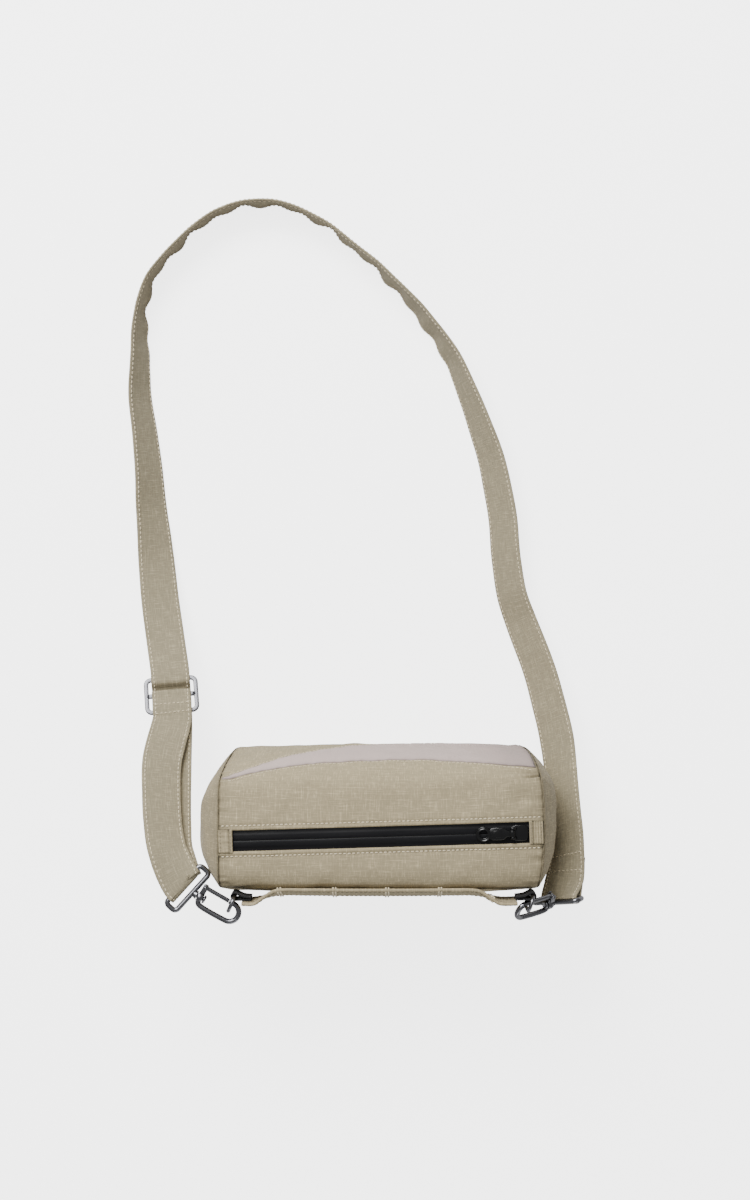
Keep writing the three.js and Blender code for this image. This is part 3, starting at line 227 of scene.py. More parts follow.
# The strap's free run. Columns: across and along as shares of the loop, height of its middle as a
# share of the bag's height, 0 where its lower edge rests, and lean in degrees.
STRAP_ROUTE = np.array([
    (0.727, -0.09, 0.61, 30),
    (0.744, -0.054, 0.515, 44),
    (0.75, -0.004, 0.41, 48),
    (0.738, 0.057, 0.322, 42),
    (0.724, 0.12, 0.237, 34),
    (0.692, 0.184, 0.17, 34),
    (0.646, 0.249, 0.123, 36),
    (0.588, 0.314, 0, 38),
    (0.55, 0.36, 0, 42),
    (0.526, 0.413, 0, 44),
    (0.513, 0.479, 0, 45),
    (0.484, 0.545, 0, 47),
    (0.441, 0.611, 0, 53),
    (0.381, 0.678, 0, 61),
    (0.307, 0.744, 0, 69),
    (0.196, 0.81, 0, 76),
    (0.072, 0.866, 0, 84),
    (-0.081, 0.926, 0, 90),
    (-0.266, 0.979, 0, 93),
    (-0.473, 1.004, 0, 94),
    (-0.667, 0.985, 0, 94),
    (-0.802, 0.946, 0, 93),
    (-0.9, 0.905, 0, 90),
    (-0.956, 0.866, 0, 86),
    (-0.984, 0.81, 0, 77),
    (-0.984, 0.744, 0, 67),
    (-0.98, 0.678, 0, 60),
    (-0.962, 0.612, 0, 55),
    (-0.948, 0.546, 0, 49),
    (-0.935, 0.48, 0, 40),
    (-0.918, 0.413, 0.085, 26),
    (-0.898, 0.347, 0.13, 16),
    (-0.872, 0.286, 0.195, 8),
])

# The two layers from the left-hand hook up to the adjuster. Columns: front and back layer's place
# across, along and up as shares, and the lean in degrees.
DOUBLED_LAYERS = np.array([
    (-0.805, -0.036, 0.862, -0.79, -0.034, 0.8, 22),
    (-0.83, 0.002, 0.783, -0.802, 0.006, 0.708, 27),
    (-0.845, 0.045, 0.682, -0.81, 0.048, 0.613, 26),
    (-0.852, 0.095, 0.571, -0.818, 0.096, 0.505, 18),
])

# From under the adjuster's middle bar to over an end bar. Columns: along as a share of the bars'
# pitch, and height from 0 under the middle bar to 1 over the end bar.
THREADED = np.array([
    (0, 0),
    (0.226, 0),
    (0.452, 0.133),
    (0.597, 0.4),
    (0.679, 0.7),
    (0.769, 0.933),
    (0.878, 1),
    (1, 1),
    (1.176, 1),
    (1.45, 0.97),
])

# The sewn end's way to its fold round the middle bar. Columns: along as above, and height as a
# share of the height at which the strap clears a bar.
SEWN_END = np.array([
    (1.45, 1.95),
    (1.176, 2),
    (1, 2),
    (0.778, 1.85),
    (0.452, 1.45),
    (0.226, 1.1),
    (0.09, 1),
    (-0.131, 1),
    (-0.202, 0.84),
    (-0.231, 0.45),
    (-0.231, -0.45),
    (-0.202, -0.84),
    (-0.131, -1),
    (0.16, -1.02),
])

# The band on the back. Columns: share of the way to the ring, lift off the back towards the ring,
# and how far it has turned upright.
BAND_ROWS = np.array([
    (-0.95, 1, 1),
    (-0.87, 1, 1),
    (-0.79, 0.55, 0.4),
    (-0.71, 0.1, 0),
    (-0.5, 0, 0),
    (-0.25, 0, 0),
    (0, 0, 0),
    (0.25, 0, 0),
    (0.5, 0, 0),
    (0.64, 0.1, 0),
    (0.72, 0.6, 0.5),
    (0.79, 1, 1),
    (0.9, 1, 1),
])

def unit(vectors):
    """Each vector over its own length."""
    vectors = np.asarray(vectors, float)
    return vectors / np.maximum(np.linalg.norm(vectors, axis=-1, keepdims=True), 1e-12)


def square_to(directions, vectors):
    """Vectors made square to unit directions, over their own lengths."""
    return unit(vectors - directions * np.sum(vectors * directions, -1, keepdims=True))


# Hooks' frames, as in the solids: along the hook, across it from gate to spine, and the strap loop's
# bar and far directions
HOOKS = {
    "left": {
        "crossing": (-89.4, -45.05, 105.5),
        "along": (0.865, -0.5, 0),
        "across": (-0.5, -0.865, 0),
        "bar": (0.65, 0.71, -0.13),
        "far": (-0.71, 0.65, 0),
        "ring_out": (-0.41, -0.91, 0),
        "fold_turn": 10,
    },
    "right": {
        "crossing": (91.3, -45.05, 105),
        "along": (-0.8, -0.13, 0.585),
        "across": (-0.22, -0.83, -0.51),
        "bar": (0.83, 0.14, 0.54),
        "far": (0.533, 0.085, -0.842),
        "ring_out": (-0.33, -0.944, 0),
        "fold_turn": 45,
    },
}
CROSSING_FROM_BAR = D_RING_WIRE / 2 + LAY_GAP + TAB_THICKNESS + TAB_HOOK_GAP + HOOK_WIRE / 2
for hook in HOOKS.values():
    hook["crossing"] = np.array(hook["crossing"])
    hook["along"] = unit(hook["along"])
    hook["across"] = square_to(hook["along"], np.array(hook["across"]))
    hook["face"] = np.cross(hook["along"], hook["across"])
    hook["bar"] = unit(hook["bar"])
    hook["far"] = square_to(hook["bar"], np.array(hook["far"]))
    hook["loop_face"] = np.cross(hook["bar"], hook["far"])
    hook["at"] = hook["crossing"] - hook["along"] * CROSSING_ALONG - hook["across"] * GATE_SIDE
    hook["far_bar"] = hook["at"] + hook["far"] * LOOP_DEPTH
    hook["frame"] = (hook["at"], hook["along"], hook["across"], hook["face"])
    hook["ring_out"] = unit(hook["ring_out"])
    hook["ring_bar"] = hook["crossing"] - hook["ring_out"] * CROSSING_FROM_BAR

ADJUSTER_AT = np.array([-0.836 * LOOP_HALF_WIDTH, 0.194 * LOOP_REACH, 0.322 * BAG_HEIGHT])
ADJUSTER_ALONG = unit((0.1, -0.925, 0.365))
ADJUSTER_ACROSS = square_to(ADJUSTER_ALONG, np.array([0.994, 0.075, -0.083]))
ADJUSTER_FACE = np.cross(ADJUSTER_ALONG, ADJUSTER_ACROSS)


# Curves and grids

def spline(before, start, end, after, share):
    """Centripetal Catmull-Rom: a cubic from start to end, whose slopes follow the points either side
    weighted by the square roots of their distances."""
    gaps = [
        np.maximum(np.sum((b - a) ** 2, -1, keepdims=True) ** 0.25, 1e-4)
        for a, b in ((before, start), (start, end), (end, after))
    ]
    leave = (start - before) / gaps[0] - (end - before) / (gaps[0] + gaps[1]) + (end - start) / gaps[1]
    arrive = (end - start) / gaps[1] - (after - start) / (gaps[1] + gaps[2]) + (after - end) / gaps[2]
    leave = leave * gaps[1]
    arrive = arrive * gaps[1]
    square = -3 * start + 3 * end - 2 * leave - arrive
    cube = 2 * start - 2 * end + leave + arrive
    return start + share * (leave + share * (square + share * cube))


def smooth_line(points, places):
    """Points on the smooth curve through given points, at places counted in points."""
    points = np.asarray(points, float)
    padded = np.vstack([2 * points[0] - points[1], points, 2 * points[-1] - points[-2]])
    first = np.clip(np.floor(places).astype(int), 0, len(points) - 2)
    share = (places - first)[:, None]
    return spline(padded[first], padded[first + 1], padded[first + 2], padded[first + 3], share)


def distances(points):
    """Distance along a line to each of its points."""
    steps = np.linalg.norm(np.diff(points, axis=0), axis=1)
    return np.concatenate([[0], np.cumsum(steps)])


def evenly(points, spacing):
    """The same line again with equal steps of about the spacing."""
    run = distances(points)
    places = np.linspace(0, run[-1], max(2, int(run[-1] / spacing)) + 1)
    return np.stack([np.interp(places, run, points[:, k]) for k in range(points.shape[1])], -1)


def once_round(count):
    """Equal angles once round, without the last, which is the first again."""
    return np.arange(count) / count * 2 * np.pi


def tangents(points, closed=False):
    """Unit directions along a line of points, from each point's two neighbours."""
    if closed:
        return unit(np.roll(points, -1, 0) - np.roll(points, 1, 0))
    return unit(np.gradient(points, axis=0))


def grid_faces(rows, columns, wrap_rows=False, wrap_columns=False):
    """Four corners of each cell of a grid of points, row after row."""
    i = np.arange(rows if wrap_rows else rows - 1)[:, None]
    j = np.arange(columns if wrap_columns else columns - 1)[None, :]
    i, j = np.broadcast_arrays(i, j)
    after_i = (i + 1) % rows
    after_j = (j + 1) % columns
    corners = [i * columns + j, i * columns + after_j, after_i * columns + after_j, after_i * columns + j]
    return np.stack(corners, -1).reshape(-1, 4)


def build(name, points, faces, material, body="root", uv=None, shade=None):
    """One object from points in millimetres and lists of faces with equal corner counts."""
    points = np.asarray(points, float).reshape(-1, 3)
    faces = faces if isinstance(faces, list) else [faces]
    corners = np.concatenate([f.ravel() for f in faces]).astype(np.int32)
    counts = np.concatenate([np.full(len(f), f.shape[1]) for f in faces]).astype(np.int32)
    mesh = bpy.data.meshes.new(name)
    mesh.vertices.add(len(points))
    mesh.vertices.foreach_set("co", (points * MM).astype(np.float32).ravel())
    mesh.loops.add(len(corners))
    mesh.loops.foreach_set("vertex_index", corners)
    mesh.polygons.add(len(counts))
    starts = np.concatenate([[0], np.cumsum(counts)[:-1]]).astype(np.int32)
    mesh.polygons.foreach_set("loop_start", starts)
    mesh.polygons.foreach_set("use_smooth", np.ones(len(counts), bool))
    mesh.update(calc_edges=True)
    if uv is not None:
        layer = mesh.uv_layers.new(name="cloth")
        flat = (np.asarray(uv, float).reshape(-1, 2) * MM).astype(np.float32)
        layer.data.foreach_set("uv", flat[corners].ravel())
    # The shade attribute carries painted shade, which the cloth materials take off their colour
    if shade is not None:
        darker = mesh.attributes.new("shade", "FLOAT", "POINT")
        darker.data.foreach_set("value", np.asarray(shade, np.float32).ravel())
    mesh.validate()
    mesh.materials.append(material)
    piece = bpy.data.objects.new(name, mesh)
    bpy.context.scene.collection.objects.link(piece)
    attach(piece, body)
    return piece


def thicken(piece, thickness):
    """A wall of even thickness behind a sheet."""
    wall = piece.modifiers.new("wall", "SOLIDIFY")
    wall.thickness = thickness * MM
    wall.offset = -1


def swept(line, across, up, section):
    """Each section point, given as (across, up), carried along a line. Rows follow the line."""
    if section.ndim == 2:
        section = section[None]
    return (
        line[:, None, :]
        + section[..., 0:1] * across[:, None, :]
        + section[..., 1:2] * up[:, None, :]
    )


def capped(rows, columns):
    """Faces of a swept closed section with a fan over each end, whose middles are the last points."""
    sides = grid_faces(rows, columns, wrap_columns=True)
    ring = np.arange(columns)
    after = (ring + 1) % columns
    start = np.stack([np.full(columns, rows * columns), after, ring], -1)
    last = (rows - 1) * columns
    end = np.stack([np.full(columns, rows * columns + 1), last + ring, last + after], -1)
    return [sides, np.concatenate([start, end])]


def circle(radius, sides):
    """A round section."""
    turn = once_round(sides)
    return radius * np.stack([np.cos(turn), np.sin(turn)], -1)


def round_corners(width, height, radius, per_corner):
    """The four quarter circles of a rectangle with round corners, in order once round."""
    turn = np.linspace(0, np.pi / 2, per_corner)
    corners = []
    for k, (sx, sy) in enumerate(((1, 1), (-1, 1), (-1, -1), (1, -1))):
        angle = turn + k * np.pi / 2
        corners.append(np.stack([
            sx * (width / 2 - radius) + radius * np.cos(angle),
            sy * (height / 2 - radius) + radius * np.sin(angle),
        ], -1))
    return corners


def rounded_box(width, height, radius, per_corner):
    """A rectangular section with round corners, once round."""
    return np.concatenate(round_corners(width, height, radius, per_corner))


def rounded_outline(length, depth, radius, per_corner=8, per_side=6):
    """Points once round a rectangle with round corners, evenly along its straight sides too."""
    corners = round_corners(length, depth, radius, per_corner)
    pieces = []
    for corner, following in zip(corners, corners[1:] + corners[:1]):
        share = (np.arange(1, per_side) / per_side)[:, None]
        pieces += [corner, corner[-1] + (following[0] - corner[-1]) * share]
    return np.concatenate(pieces)


def rod(line, normal, section, ends):
    """A section carried along an open line in a plane, with round ends: over the last stretch the
    section shrinks as a quarter circle does."""
    along = tangents(line)
    side = unit(np.cross(normal, along))
    angle = np.linspace(0, np.pi / 2, 5)[:-1]
    size = np.cos(angle)
    reach = ends * np.sin(angle)
    lead = line[0] - along[0] * reach[::-1, None]
    tail = line[-1] + along[-1] * reach[:, None]
    full = np.concatenate([lead, line[1:-1], tail])
    sides = np.concatenate([np.repeat(side[:1], 4, 0), side[1:-1], np.repeat(side[-1:], 4, 0)])
    scale = np.concatenate([size[::-1], np.ones(len(line) - 2), size])
    ups = np.broadcast_to(normal, sides.shape)
    points = swept(full, sides, ups, section[None] * scale[:, None, None])
    middles = [line[0] - along[0] * ends, line[-1] + along[-1] * ends]
    return np.vstack([points.reshape(-1, 3), middles]), capped(len(full), points.shape[1])


def ring(line, normal, section):
    """A section carried round a closed line in a plane."""
    side = unit(np.cross(normal, tangents(line, closed=True)))
    points = swept(line, side, np.broadcast_to(normal, side.shape), section)
    faces = grid_faces(len(line), points.shape[1], wrap_rows=True, wrap_columns=True)
    return points.reshape(-1, 3), [faces]


def turned_shape(profile, origin, axis, sides):
    """A profile of (along, radius) rows turned round an axis; a row with no radius is a pole."""
    helper = UP if abs(axis[2]) < 0.9 else np.array([1.0, 0.0, 0.0])
    first = unit(np.cross(helper, axis))
    second = np.cross(axis, first)
    profile = np.asarray(profile, float)
    angle = once_round(sides)[:, None]
    outward = np.cos(angle) * first + np.sin(angle) * second
    body = profile[1:-1]
    points = origin + body[:, None, 0:1] * axis + body[:, None, 1:2] * outward[None]
    poles = [origin + axis * profile[0, 0], origin + axis * profile[-1, 0]]
    return np.vstack([points.reshape(-1, 3), poles]), capped(len(body), sides)


def collected(parts):
    """Several point-and-face shapes as one."""
    points = []
    faces = {}
    count = 0
    for part_points, part_faces in parts:
        for group in part_faces:
            faces.setdefault(group.shape[1], []).append(group + count)
        points.append(part_points)
        count += len(part_points)
    return np.vstack(points), [np.concatenate(group) for group in faces.values()]


def slab(outline, thickness, bevel):
    """A flat plate from an outline, with its edges rounded over: each level moves the outline in by
    what a quarter circle does at that height. Points are (x, y, z) in the plate's own frame."""
    direction = unit(np.roll(outline, -1, 0) - np.roll(outline, 1, 0))
    inward = np.stack([-direction[:, 1], direction[:, 0]], -1)
    angle = np.linspace(0, np.pi / 2, 4)
    low = [(bevel * (1 - np.sin(a)), -thickness / 2 + bevel * (1 - np.cos(a))) for a in angle]
    high = [(inset, -z) for inset, z in reversed(low)]
    levels = []
    for inset, z in low + high:
        flat = outline + inward * inset
        levels.append(np.column_stack([flat, np.full(len(flat), z)]))
    middle = outline.mean(0)
    points = np.vstack([*levels, [*middle, -thickness / 2], [*middle, thickness / 2]])
    return points, capped(len(levels), len(outline))


def placed(points, origin, x_axis, y_axis, z_axis):
    """Points of a local frame in the shared one."""
    return origin + points @ np.stack([x_axis, y_axis, z_axis])


# The bag's face

def bell(distance, width):
    """1 at no distance, and almost nothing past twice the width."""
    return np.exp(-((distance / width) ** 2))


def row_distance(rows, centre):
    """Signed rows from a place on the outline, the short way round."""
    return (rows - centre + ROWS / 2) % ROWS - ROWS / 2


def half_length(z):
    """Half the bag's length at a height."""
    return HALF_BASE + (HALF_TOP - HALF_BASE) * z / BAG_HEIGHT


def right_swell(row):
    """How far the right-hand end stands out beside the zip, by the row of the outline."""
    return RIGHT_SWELL * bell(row_distance(row, 10.4), 1.7)


def outline_points(share, row):
    """Depth and height on the bag's outline: the outline's points move from their middle values to
    their end values with the share of the length to the power of END_PULL, and a smooth closed curve
    goes through them. The front's right-hand corner is a little fuller than the left-hand one."""
    pull = (np.abs(share) ** END_PULL)[..., None]
    first = np.floor(row).astype(int)
    corners = []
    for k in (-1, 0, 1, 2):
        place = OUTLINE[(first + k) % ROWS]
        corners.append((place[..., :2] * (1 - pull) + place[..., 2:] * pull) * [HALF_DEPTH, BAG_HEIGHT])
    flat = spline(*corners, (row - first)[..., None])
    flat[..., 0] += RIGHT_FULLNESS * bell(row_distance(row, 7.0), 2.4) * np.clip(share, 0, 1) ** 3
    return flat


def bag_points(share, row):
    """Points of the plain outer face: length runs with the half length at each height, and the
    right-hand end swells a little, by the share of the length to the eighth power."""
    share, row = np.broadcast_arrays(np.asarray(share, float), np.asarray(row, float))
    flat = outline_points(share, row)
    z = np.maximum(flat[..., 1], 0)
    swell = right_swell(row) * np.clip(share, 0, 1) ** 8
    return np.stack([share * half_length(z) + swell, flat[..., 0], z], -1)


def bag_normals(share, row):
    """Outward directions of the plain face, from its slopes along and round it."""
    step = 0.01
    along = bag_points(share + step, row) - bag_points(share - step, row)
    round_ = bag_points(share, row + 5 * step) - bag_points(share, row - 5 * step)
    return unit(np.cross(round_, along))


def rows_at(x, axis, value, span):
    """Rows of the outline, within a span, at which the face passes a depth (axis 1) or a height
    (axis 2) at some x, by halving the span again and again."""
    x, value = np.broadcast_arrays(np.asarray(x, float), np.asarray(value, float))
    low = np.full(x.shape, float(span[0]))
    high = np.full(x.shape, float(span[1]))
    share = x / HALF_TOP
    rising = bag_points(share, high)[..., axis] > bag_points(share, low)[..., axis]
    for _ in range(24):
        middle = (low + high) / 2
        p = bag_points(share, middle)
        share = x / half_length(p[..., 2])
        below = (p[..., axis] < value) == rising
        low = np.where(below, middle, low)
        high = np.where(below, high, middle)
    return (low + high) / 2


GIRTH_ROWS = np.linspace(0, ROWS, 801)
GIRTH = distances(bag_points(0.0, GIRTH_ROWS))


def girth_at(row):
    """Distance round the outline at some rows."""
    return np.interp(row, GIRTH_ROWS, GIRTH)


random = np.random.default_rng(SEED)
WAVES = np.stack([
    random.uniform(0, np.pi, 16),
    random.uniform(0.1, 0.4, 16),
    random.uniform(0, 2 * np.pi, 16),
    random.uniform(0.03, 0.1, 16),
], -1)
PUCKERS = random.uniform(0, 2 * np.pi, 4)
ROW_STEP = 20.0


def ripples(u, v):
    """Slight unevenness of the cloth: sixteen low waves of random turn, length and start."""
    total = np.zeros(np.shape(u))
    for turn, number, start, height in WAVES:
        total += height * np.sin(number * (u * math.cos(turn) + v * math.sin(turn)) + start)
    return total


def puckers(along, distance, reach, height):
    """Short gathers across a seam: waves along it of three lengths that die away beside it."""
    waves = (
        np.sin(along * 0.72 + PUCKERS[0])
        + 0.7 * np.sin(along * 1.13 + PUCKERS[1])
        + 0.5 * np.sin(along * 0.41 + PUCKERS[2])
    )
    return height * waves * np.exp(-((distance / reach) ** 2)) / 1.6


def zip_distance(points):
    """How far points of the face lie outside the zip's window, across the zip; far from the top face
    it is large."""
    across = (points[..., 1] - zip_line_y(points[..., 0], 0)) * math.cos(ZIP_TURN)
    return np.abs(across) - WINDOW_WIDTH / 2 + 50 * (points[..., 2] < 0.9 * BAG_HEIGHT)


def dented(share, row):
    """Depth of all named dents, as turned bell shapes."""
    total = np.zeros(np.shape(row))
    for at, centre, length, width, turn, depth in DENTS:
        a = (share - at) * HALF_TOP
        b = row_distance(row, centre) * ROW_STEP
        c, s = math.cos(math.radians(turn)), math.sin(math.radians(turn))
        first = (a * c + b * s) / (length * HALF_TOP)
        second = (-a * s + b * c) / (width * ROW_STEP)
        total += depth * np.exp(-(first ** 2) - second ** 2)
    return total


def relief(share, row):
    """How far the real cloth stands off the plain face: ripples, dents, puckers and a groove along the
    end seams, and a lip with a sewn groove along the zip. The base stays flat."""
    u = share * HALF_TOP
    v = girth_at(np.mod(row, ROWS))
    plain = bag_points(share, row)
    edge = (1 - np.abs(share)) * HALF_TOP
    total = ripples(u, v) - dented(share, row) + puckers(v, edge, 7.0, 0.45)
    total = np.clip(total, -DEEPEST_DENT, HIGHEST_RIPPLE)
    off_zip = zip_distance(plain)
    off_stitches = off_zip - STITCH_FROM_ZIP
    total += ZIP_LIP * (bell(off_zip - 1.0, 1.4) - bell(off_stitches, 0.8))
    total += puckers(u + 7, off_stitches, 3.0, 0.14)
    total -= SEAM_GROOVE * bell(edge, 1.3)
    return total * np.clip(plain[..., 2] / 4, 0, 1)


def face_points(share, row, above=0.0):
    """Points of the dressed face, some way above it, and the directions out of it."""
    share, row = np.broadcast_arrays(np.asarray(share, float), np.asarray(row, float))
    out = bag_normals(share, row)
    height = relief(share, row) + above
    return bag_points(share, row) + out * height[..., None], out


def zip_line_y(x, across):
    """The depth of a line along the zip, some way across it."""
    return ZIP_Y + math.tan(ZIP_TURN) * (x - ZIP_X) + across / math.cos(ZIP_TURN)


def zip_points(along, across, below):
    """Points under or over the top face in the zip's own frame, turned a little about its middle."""
    c, s = math.cos(ZIP_TURN), math.sin(ZIP_TURN)
    x = ZIP_X + along * c - across * s
    y = ZIP_Y + along * s + across * c
    z = bag_points(x / HALF_TOP, rows_at(x, 1, y, TOP_ROWS))[..., 2]
    return np.stack([x, y, z - below], -1)


# Finishes

def linear(red, green, blue):
    """A display colour of 0 to 255 as the shader takes it."""
    display = np.array([red, green, blue]) / 255
    light = np.where(display <= 0.04045, display / 12.92, ((display + 0.055) / 1.055) ** 2.4)
    return (*light, 1.0)


def add_node(tree, kind, inputs=None, **settings):
    """A shader node with its settings and inputs; an input may be a socket to link."""
    made = tree.nodes.new(kind)
    for key, value in settings.items():
        setattr(made, key, value)
    for key, value in (inputs or {}).items():
        if isinstance(value, bpy.types.NodeSocket):
            tree.links.new(value, made.inputs[key])
        else:
            made.inputs[key].default_value = value
    return made


def calc(tree, operation, a, b=0.0, c=0.0):
    """One math node's result."""
    return add_node(tree, "ShaderNodeMath", {0: a, 1: b, 2: c}, operation=operation).outputs[0]


def blend(tree, share, first, second):
    """Two colours mixed by a share."""
    return add_node(tree, "ShaderNodeMix", {0: share, 6: first, 7: second}, data_type="RGBA").outputs[2]


def noise(tree, where, scale, detail):
    """Soft noise between 0 and 1."""
    made = add_node(tree, "ShaderNodeTexNoise", {"Vector": where, "Scale": scale, "Detail": detail})
    return made.outputs[0]


def smooth_step(tree, value, low, high, start=0.0, end=1.0):
    """From start to end as a value goes from low to high, with no corner at either."""
    inputs = {0: value, 1: low, 2: high, 3: start, 4: end}
    return add_node(tree, "ShaderNodeMapRange", inputs, interpolation_type="SMOOTHSTEP").outputs[0]


def object_place(tree):
    """Object coordinates."""
    return add_node(tree, "ShaderNodeTexCoord").outputs["Object"]


def cloth_map(tree):
    """The piece's own map in metres, and its two coordinates."""
    uv = add_node(tree, "ShaderNodeUVMap", uv_map="cloth").outputs[0]
    parts = add_node(tree, "ShaderNodeSeparateXYZ", {0: uv})
    return uv, parts.outputs[0], parts.outputs[1]


def bumped(tree, shader, height, strength, distance):
    """Low relief of a height on the whole piece."""
    bump = add_node(tree, "ShaderNodeBump", {"Strength": strength, "Distance": distance, "Height": height})
    tree.links.new(bump.outputs[0], shader.inputs["Normal"])


def toned(colour, factor):
    """A colour made darker or lighter."""
    return (*[min(1, c * factor) for c in colour[:3]], 1)


def finish(name, roughness, metallic=0.0, **sockets):
    """A new material and its shader, with the values that are the same all over."""
    material = bpy.data.materials.new(name)
    material.use_nodes = True
    shader = material.node_tree.nodes["Principled BSDF"]
    for key, value in {"Roughness": roughness, "Metallic": metallic, **sockets}.items():
        shader.inputs[key.replace("_", " ")].default_value = value
    return material, material.node_tree, shader


def lines_every(tree, coordinate, pitch, width):
    """Thin soft lines at each multiple of a pitch, 1 on the line and 0 away from it."""
    return smooth_step(tree, calc(tree, "PINGPONG", coordinate, pitch / 2), 0.0, width, 1.0, 0.0)


def thread_noise(tree, uv, along, across):
    """Noise drawn out along the threads one way; the numbers are its lengths in millimetres."""
    mapped = add_node(tree, "ShaderNodeMapping", {0: uv, 3: (1 / MM / along, 1 / MM / across, 1.0)})
    return noise(tree, mapped.outputs[0], 1.0, 3.0)


# The cloth's grid of thicker threads, in metres
GRID_PITCH = 0.0039
GRID_LINE = 0.00042


def woven(name, colour, grid_share, roughness, weave_share=0.16, stain=0.05, slub_share=0.3):
    """Cloth on its own UV in metres: fine threads both ways as drawn-out noise, longer pale slubs, a
    paler grid of thicker threads, slow changes of tone, painted shade in seams, grooves, dents and
    creases where the piece's shade attribute says so, and the threads and grid as a low bump."""
    material, tree, shader = finish(
        name, roughness, Sheen_Weight=0.08, Sheen_Roughness=0.5, Specular_IOR_Level=0.2)
    uv, u, v = cloth_map(tree)
    threads = calc(tree, "ADD", thread_noise(tree, uv, 3.5, 0.28), thread_noise(tree, uv, 0.28, 3.5))
    slubs = calc(tree, "ADD", *[
        smooth_step(tree, thread_noise(tree, uv, along, across), 0.5, 0.68)
        for along, across in ((9.0, 0.62), (0.62, 7.0))
    ])
    grid = calc(tree, "MAXIMUM", *[lines_every(tree, place, GRID_PITCH, GRID_LINE) for place in (u, v)])
    broken = calc(tree, "MULTIPLY", grid, calc(tree, "MULTIPLY_ADD", slubs, 0.9, 0.25))
    slow = noise(tree, object_place(tree), 18.0, 4.0)
    shade = calc(tree, "MULTIPLY_ADD", threads, weave_share * 2, 1 - weave_share * 2)
    shade = calc(tree, "ADD", shade, calc(tree, "MULTIPLY_ADD", slow, stain * 2, -stain))
    shade = calc(tree, "ADD", shade, calc(tree, "MULTIPLY", broken, grid_share))
    shade = calc(tree, "MULTIPLY_ADD", slubs, slub_share, shade)
    # The shade attribute is painted shade, taken off the colour: darker in seams, grooves, dents and creases,
    # and towards the bag's right-hand end
    groove = add_node(tree, "ShaderNodeAttribute", attribute_name="shade").outputs["Fac"]
    shade = calc(tree, "MULTIPLY", shade, calc(tree, "SUBTRACT", 1.0, groove))
    shaded = add_node(tree, "ShaderNodeVectorMath", {0: colour[:3], "Scale": shade}, operation="SCALE")
    tree.links.new(shaded.outputs[0], shader.inputs["Base Color"])
    bumped(tree, shader, calc(tree, "MULTIPLY_ADD", grid, 0.6, threads), 0.45, 0.00025)
    return material


def coated(name, colour):
    """Zip tape with a smooth coating: fine ribs across and a faint mottle, half gloss."""
    material, tree, shader = finish(name, 0.42, Specular_IOR_Level=0.22)
    uv, u, _ = cloth_map(tree)
    ribs = calc(tree, "SINE", calc(tree, "MULTIPLY", u, 2 * math.pi / 0.0011))
    grain = noise(tree, uv, 900.0, 3.0)
    tone = blend(tree, grain, toned(colour, 0.8), toned(colour, 1.25))
    tree.links.new(tone, shader.inputs["Base Color"])
    tree.links.new(calc(tree, "MULTIPLY_ADD", grain, 0.25, 0.32), shader.inputs["Roughness"])
    bumped(tree, shader, calc(tree, "MULTIPLY_ADD", ribs, 0.3, grain), 0.3, 0.0001)
    return material


def metal(name, colour, roughness, wear, metallic=1.0):
    """Plated metal on Object coordinates: slight cloudiness in its gloss and tone, and fine dents."""
    material, tree, shader = finish(name, roughness, metallic)
    where = object_place(tree)
    cloud = noise(tree, where, 160.0, 5.0)
    tone = blend(tree, cloud, toned(colour, 1 - wear), toned(colour, 1 + wear))
    tree.links.new(tone, shader.inputs["Base Color"])
    rough = calc(tree, "MULTIPLY_ADD", cloud, 0.14, roughness - 0.05)
    tree.links.new(rough, shader.inputs["Roughness"])
    bumped(tree, shader, noise(tree, where, 900.0, 2.0), 0.12, 0.0001)
    return material


def spun(name, colour):
    """Sewing thread: fine twisted plies as slanted waves."""
    material, tree, shader = finish(name, 0.7, Sheen_Weight=0.3)
    inputs = {"Vector": object_place(tree), "Scale": 900.0, "Distortion": 2.0}
    plies = add_node(tree, "ShaderNodeTexWave", inputs, bands_direction="DIAGONAL")
    tone = blend(tree, plies.outputs["Fac"], toned(colour, 0.82), colour)
    tree.links.new(tone, shader.inputs["Base Color"])
    return material


RIPSTOP = woven("ripstop_cloth", linear(155, 143, 115), 0.27, 0.85)
STRAP_CLOTH = woven("strap_cloth", linear(140, 131, 108), 0.14, 0.85, stain=0.06)
SMOOTH_CLOTH = woven(
    "smooth_lilac_cloth", linear(194, 176, 169), 0.0, 0.75, weave_share=0.05, slub_share=0.0)
WEBBING = woven("black_webbing", linear(24, 24, 26), 0.0, 0.75, weave_share=0.2, slub_share=0.05)
ZIP_COATING = coated("black_zip_coating", linear(13, 13, 16))
GUNMETAL = metal("dark_plated_metal", linear(122, 122, 126), 0.24, 0.2)
NICKEL = metal("bright_plated_metal", linear(92, 92, 95), 0.32, 0.12)
BLACK_GLOSS = metal("black_gloss_paint", linear(10, 10, 11), 0.16, 0.15, metallic=0.0)
THREAD = spun("cream_thread", linear(226, 212, 180))
RIPSTOP_THREAD = spun("beige_thread", linear(132, 119, 95))


# Sewing

STITCH_STEPS = 6
STITCH_SIDES = 6


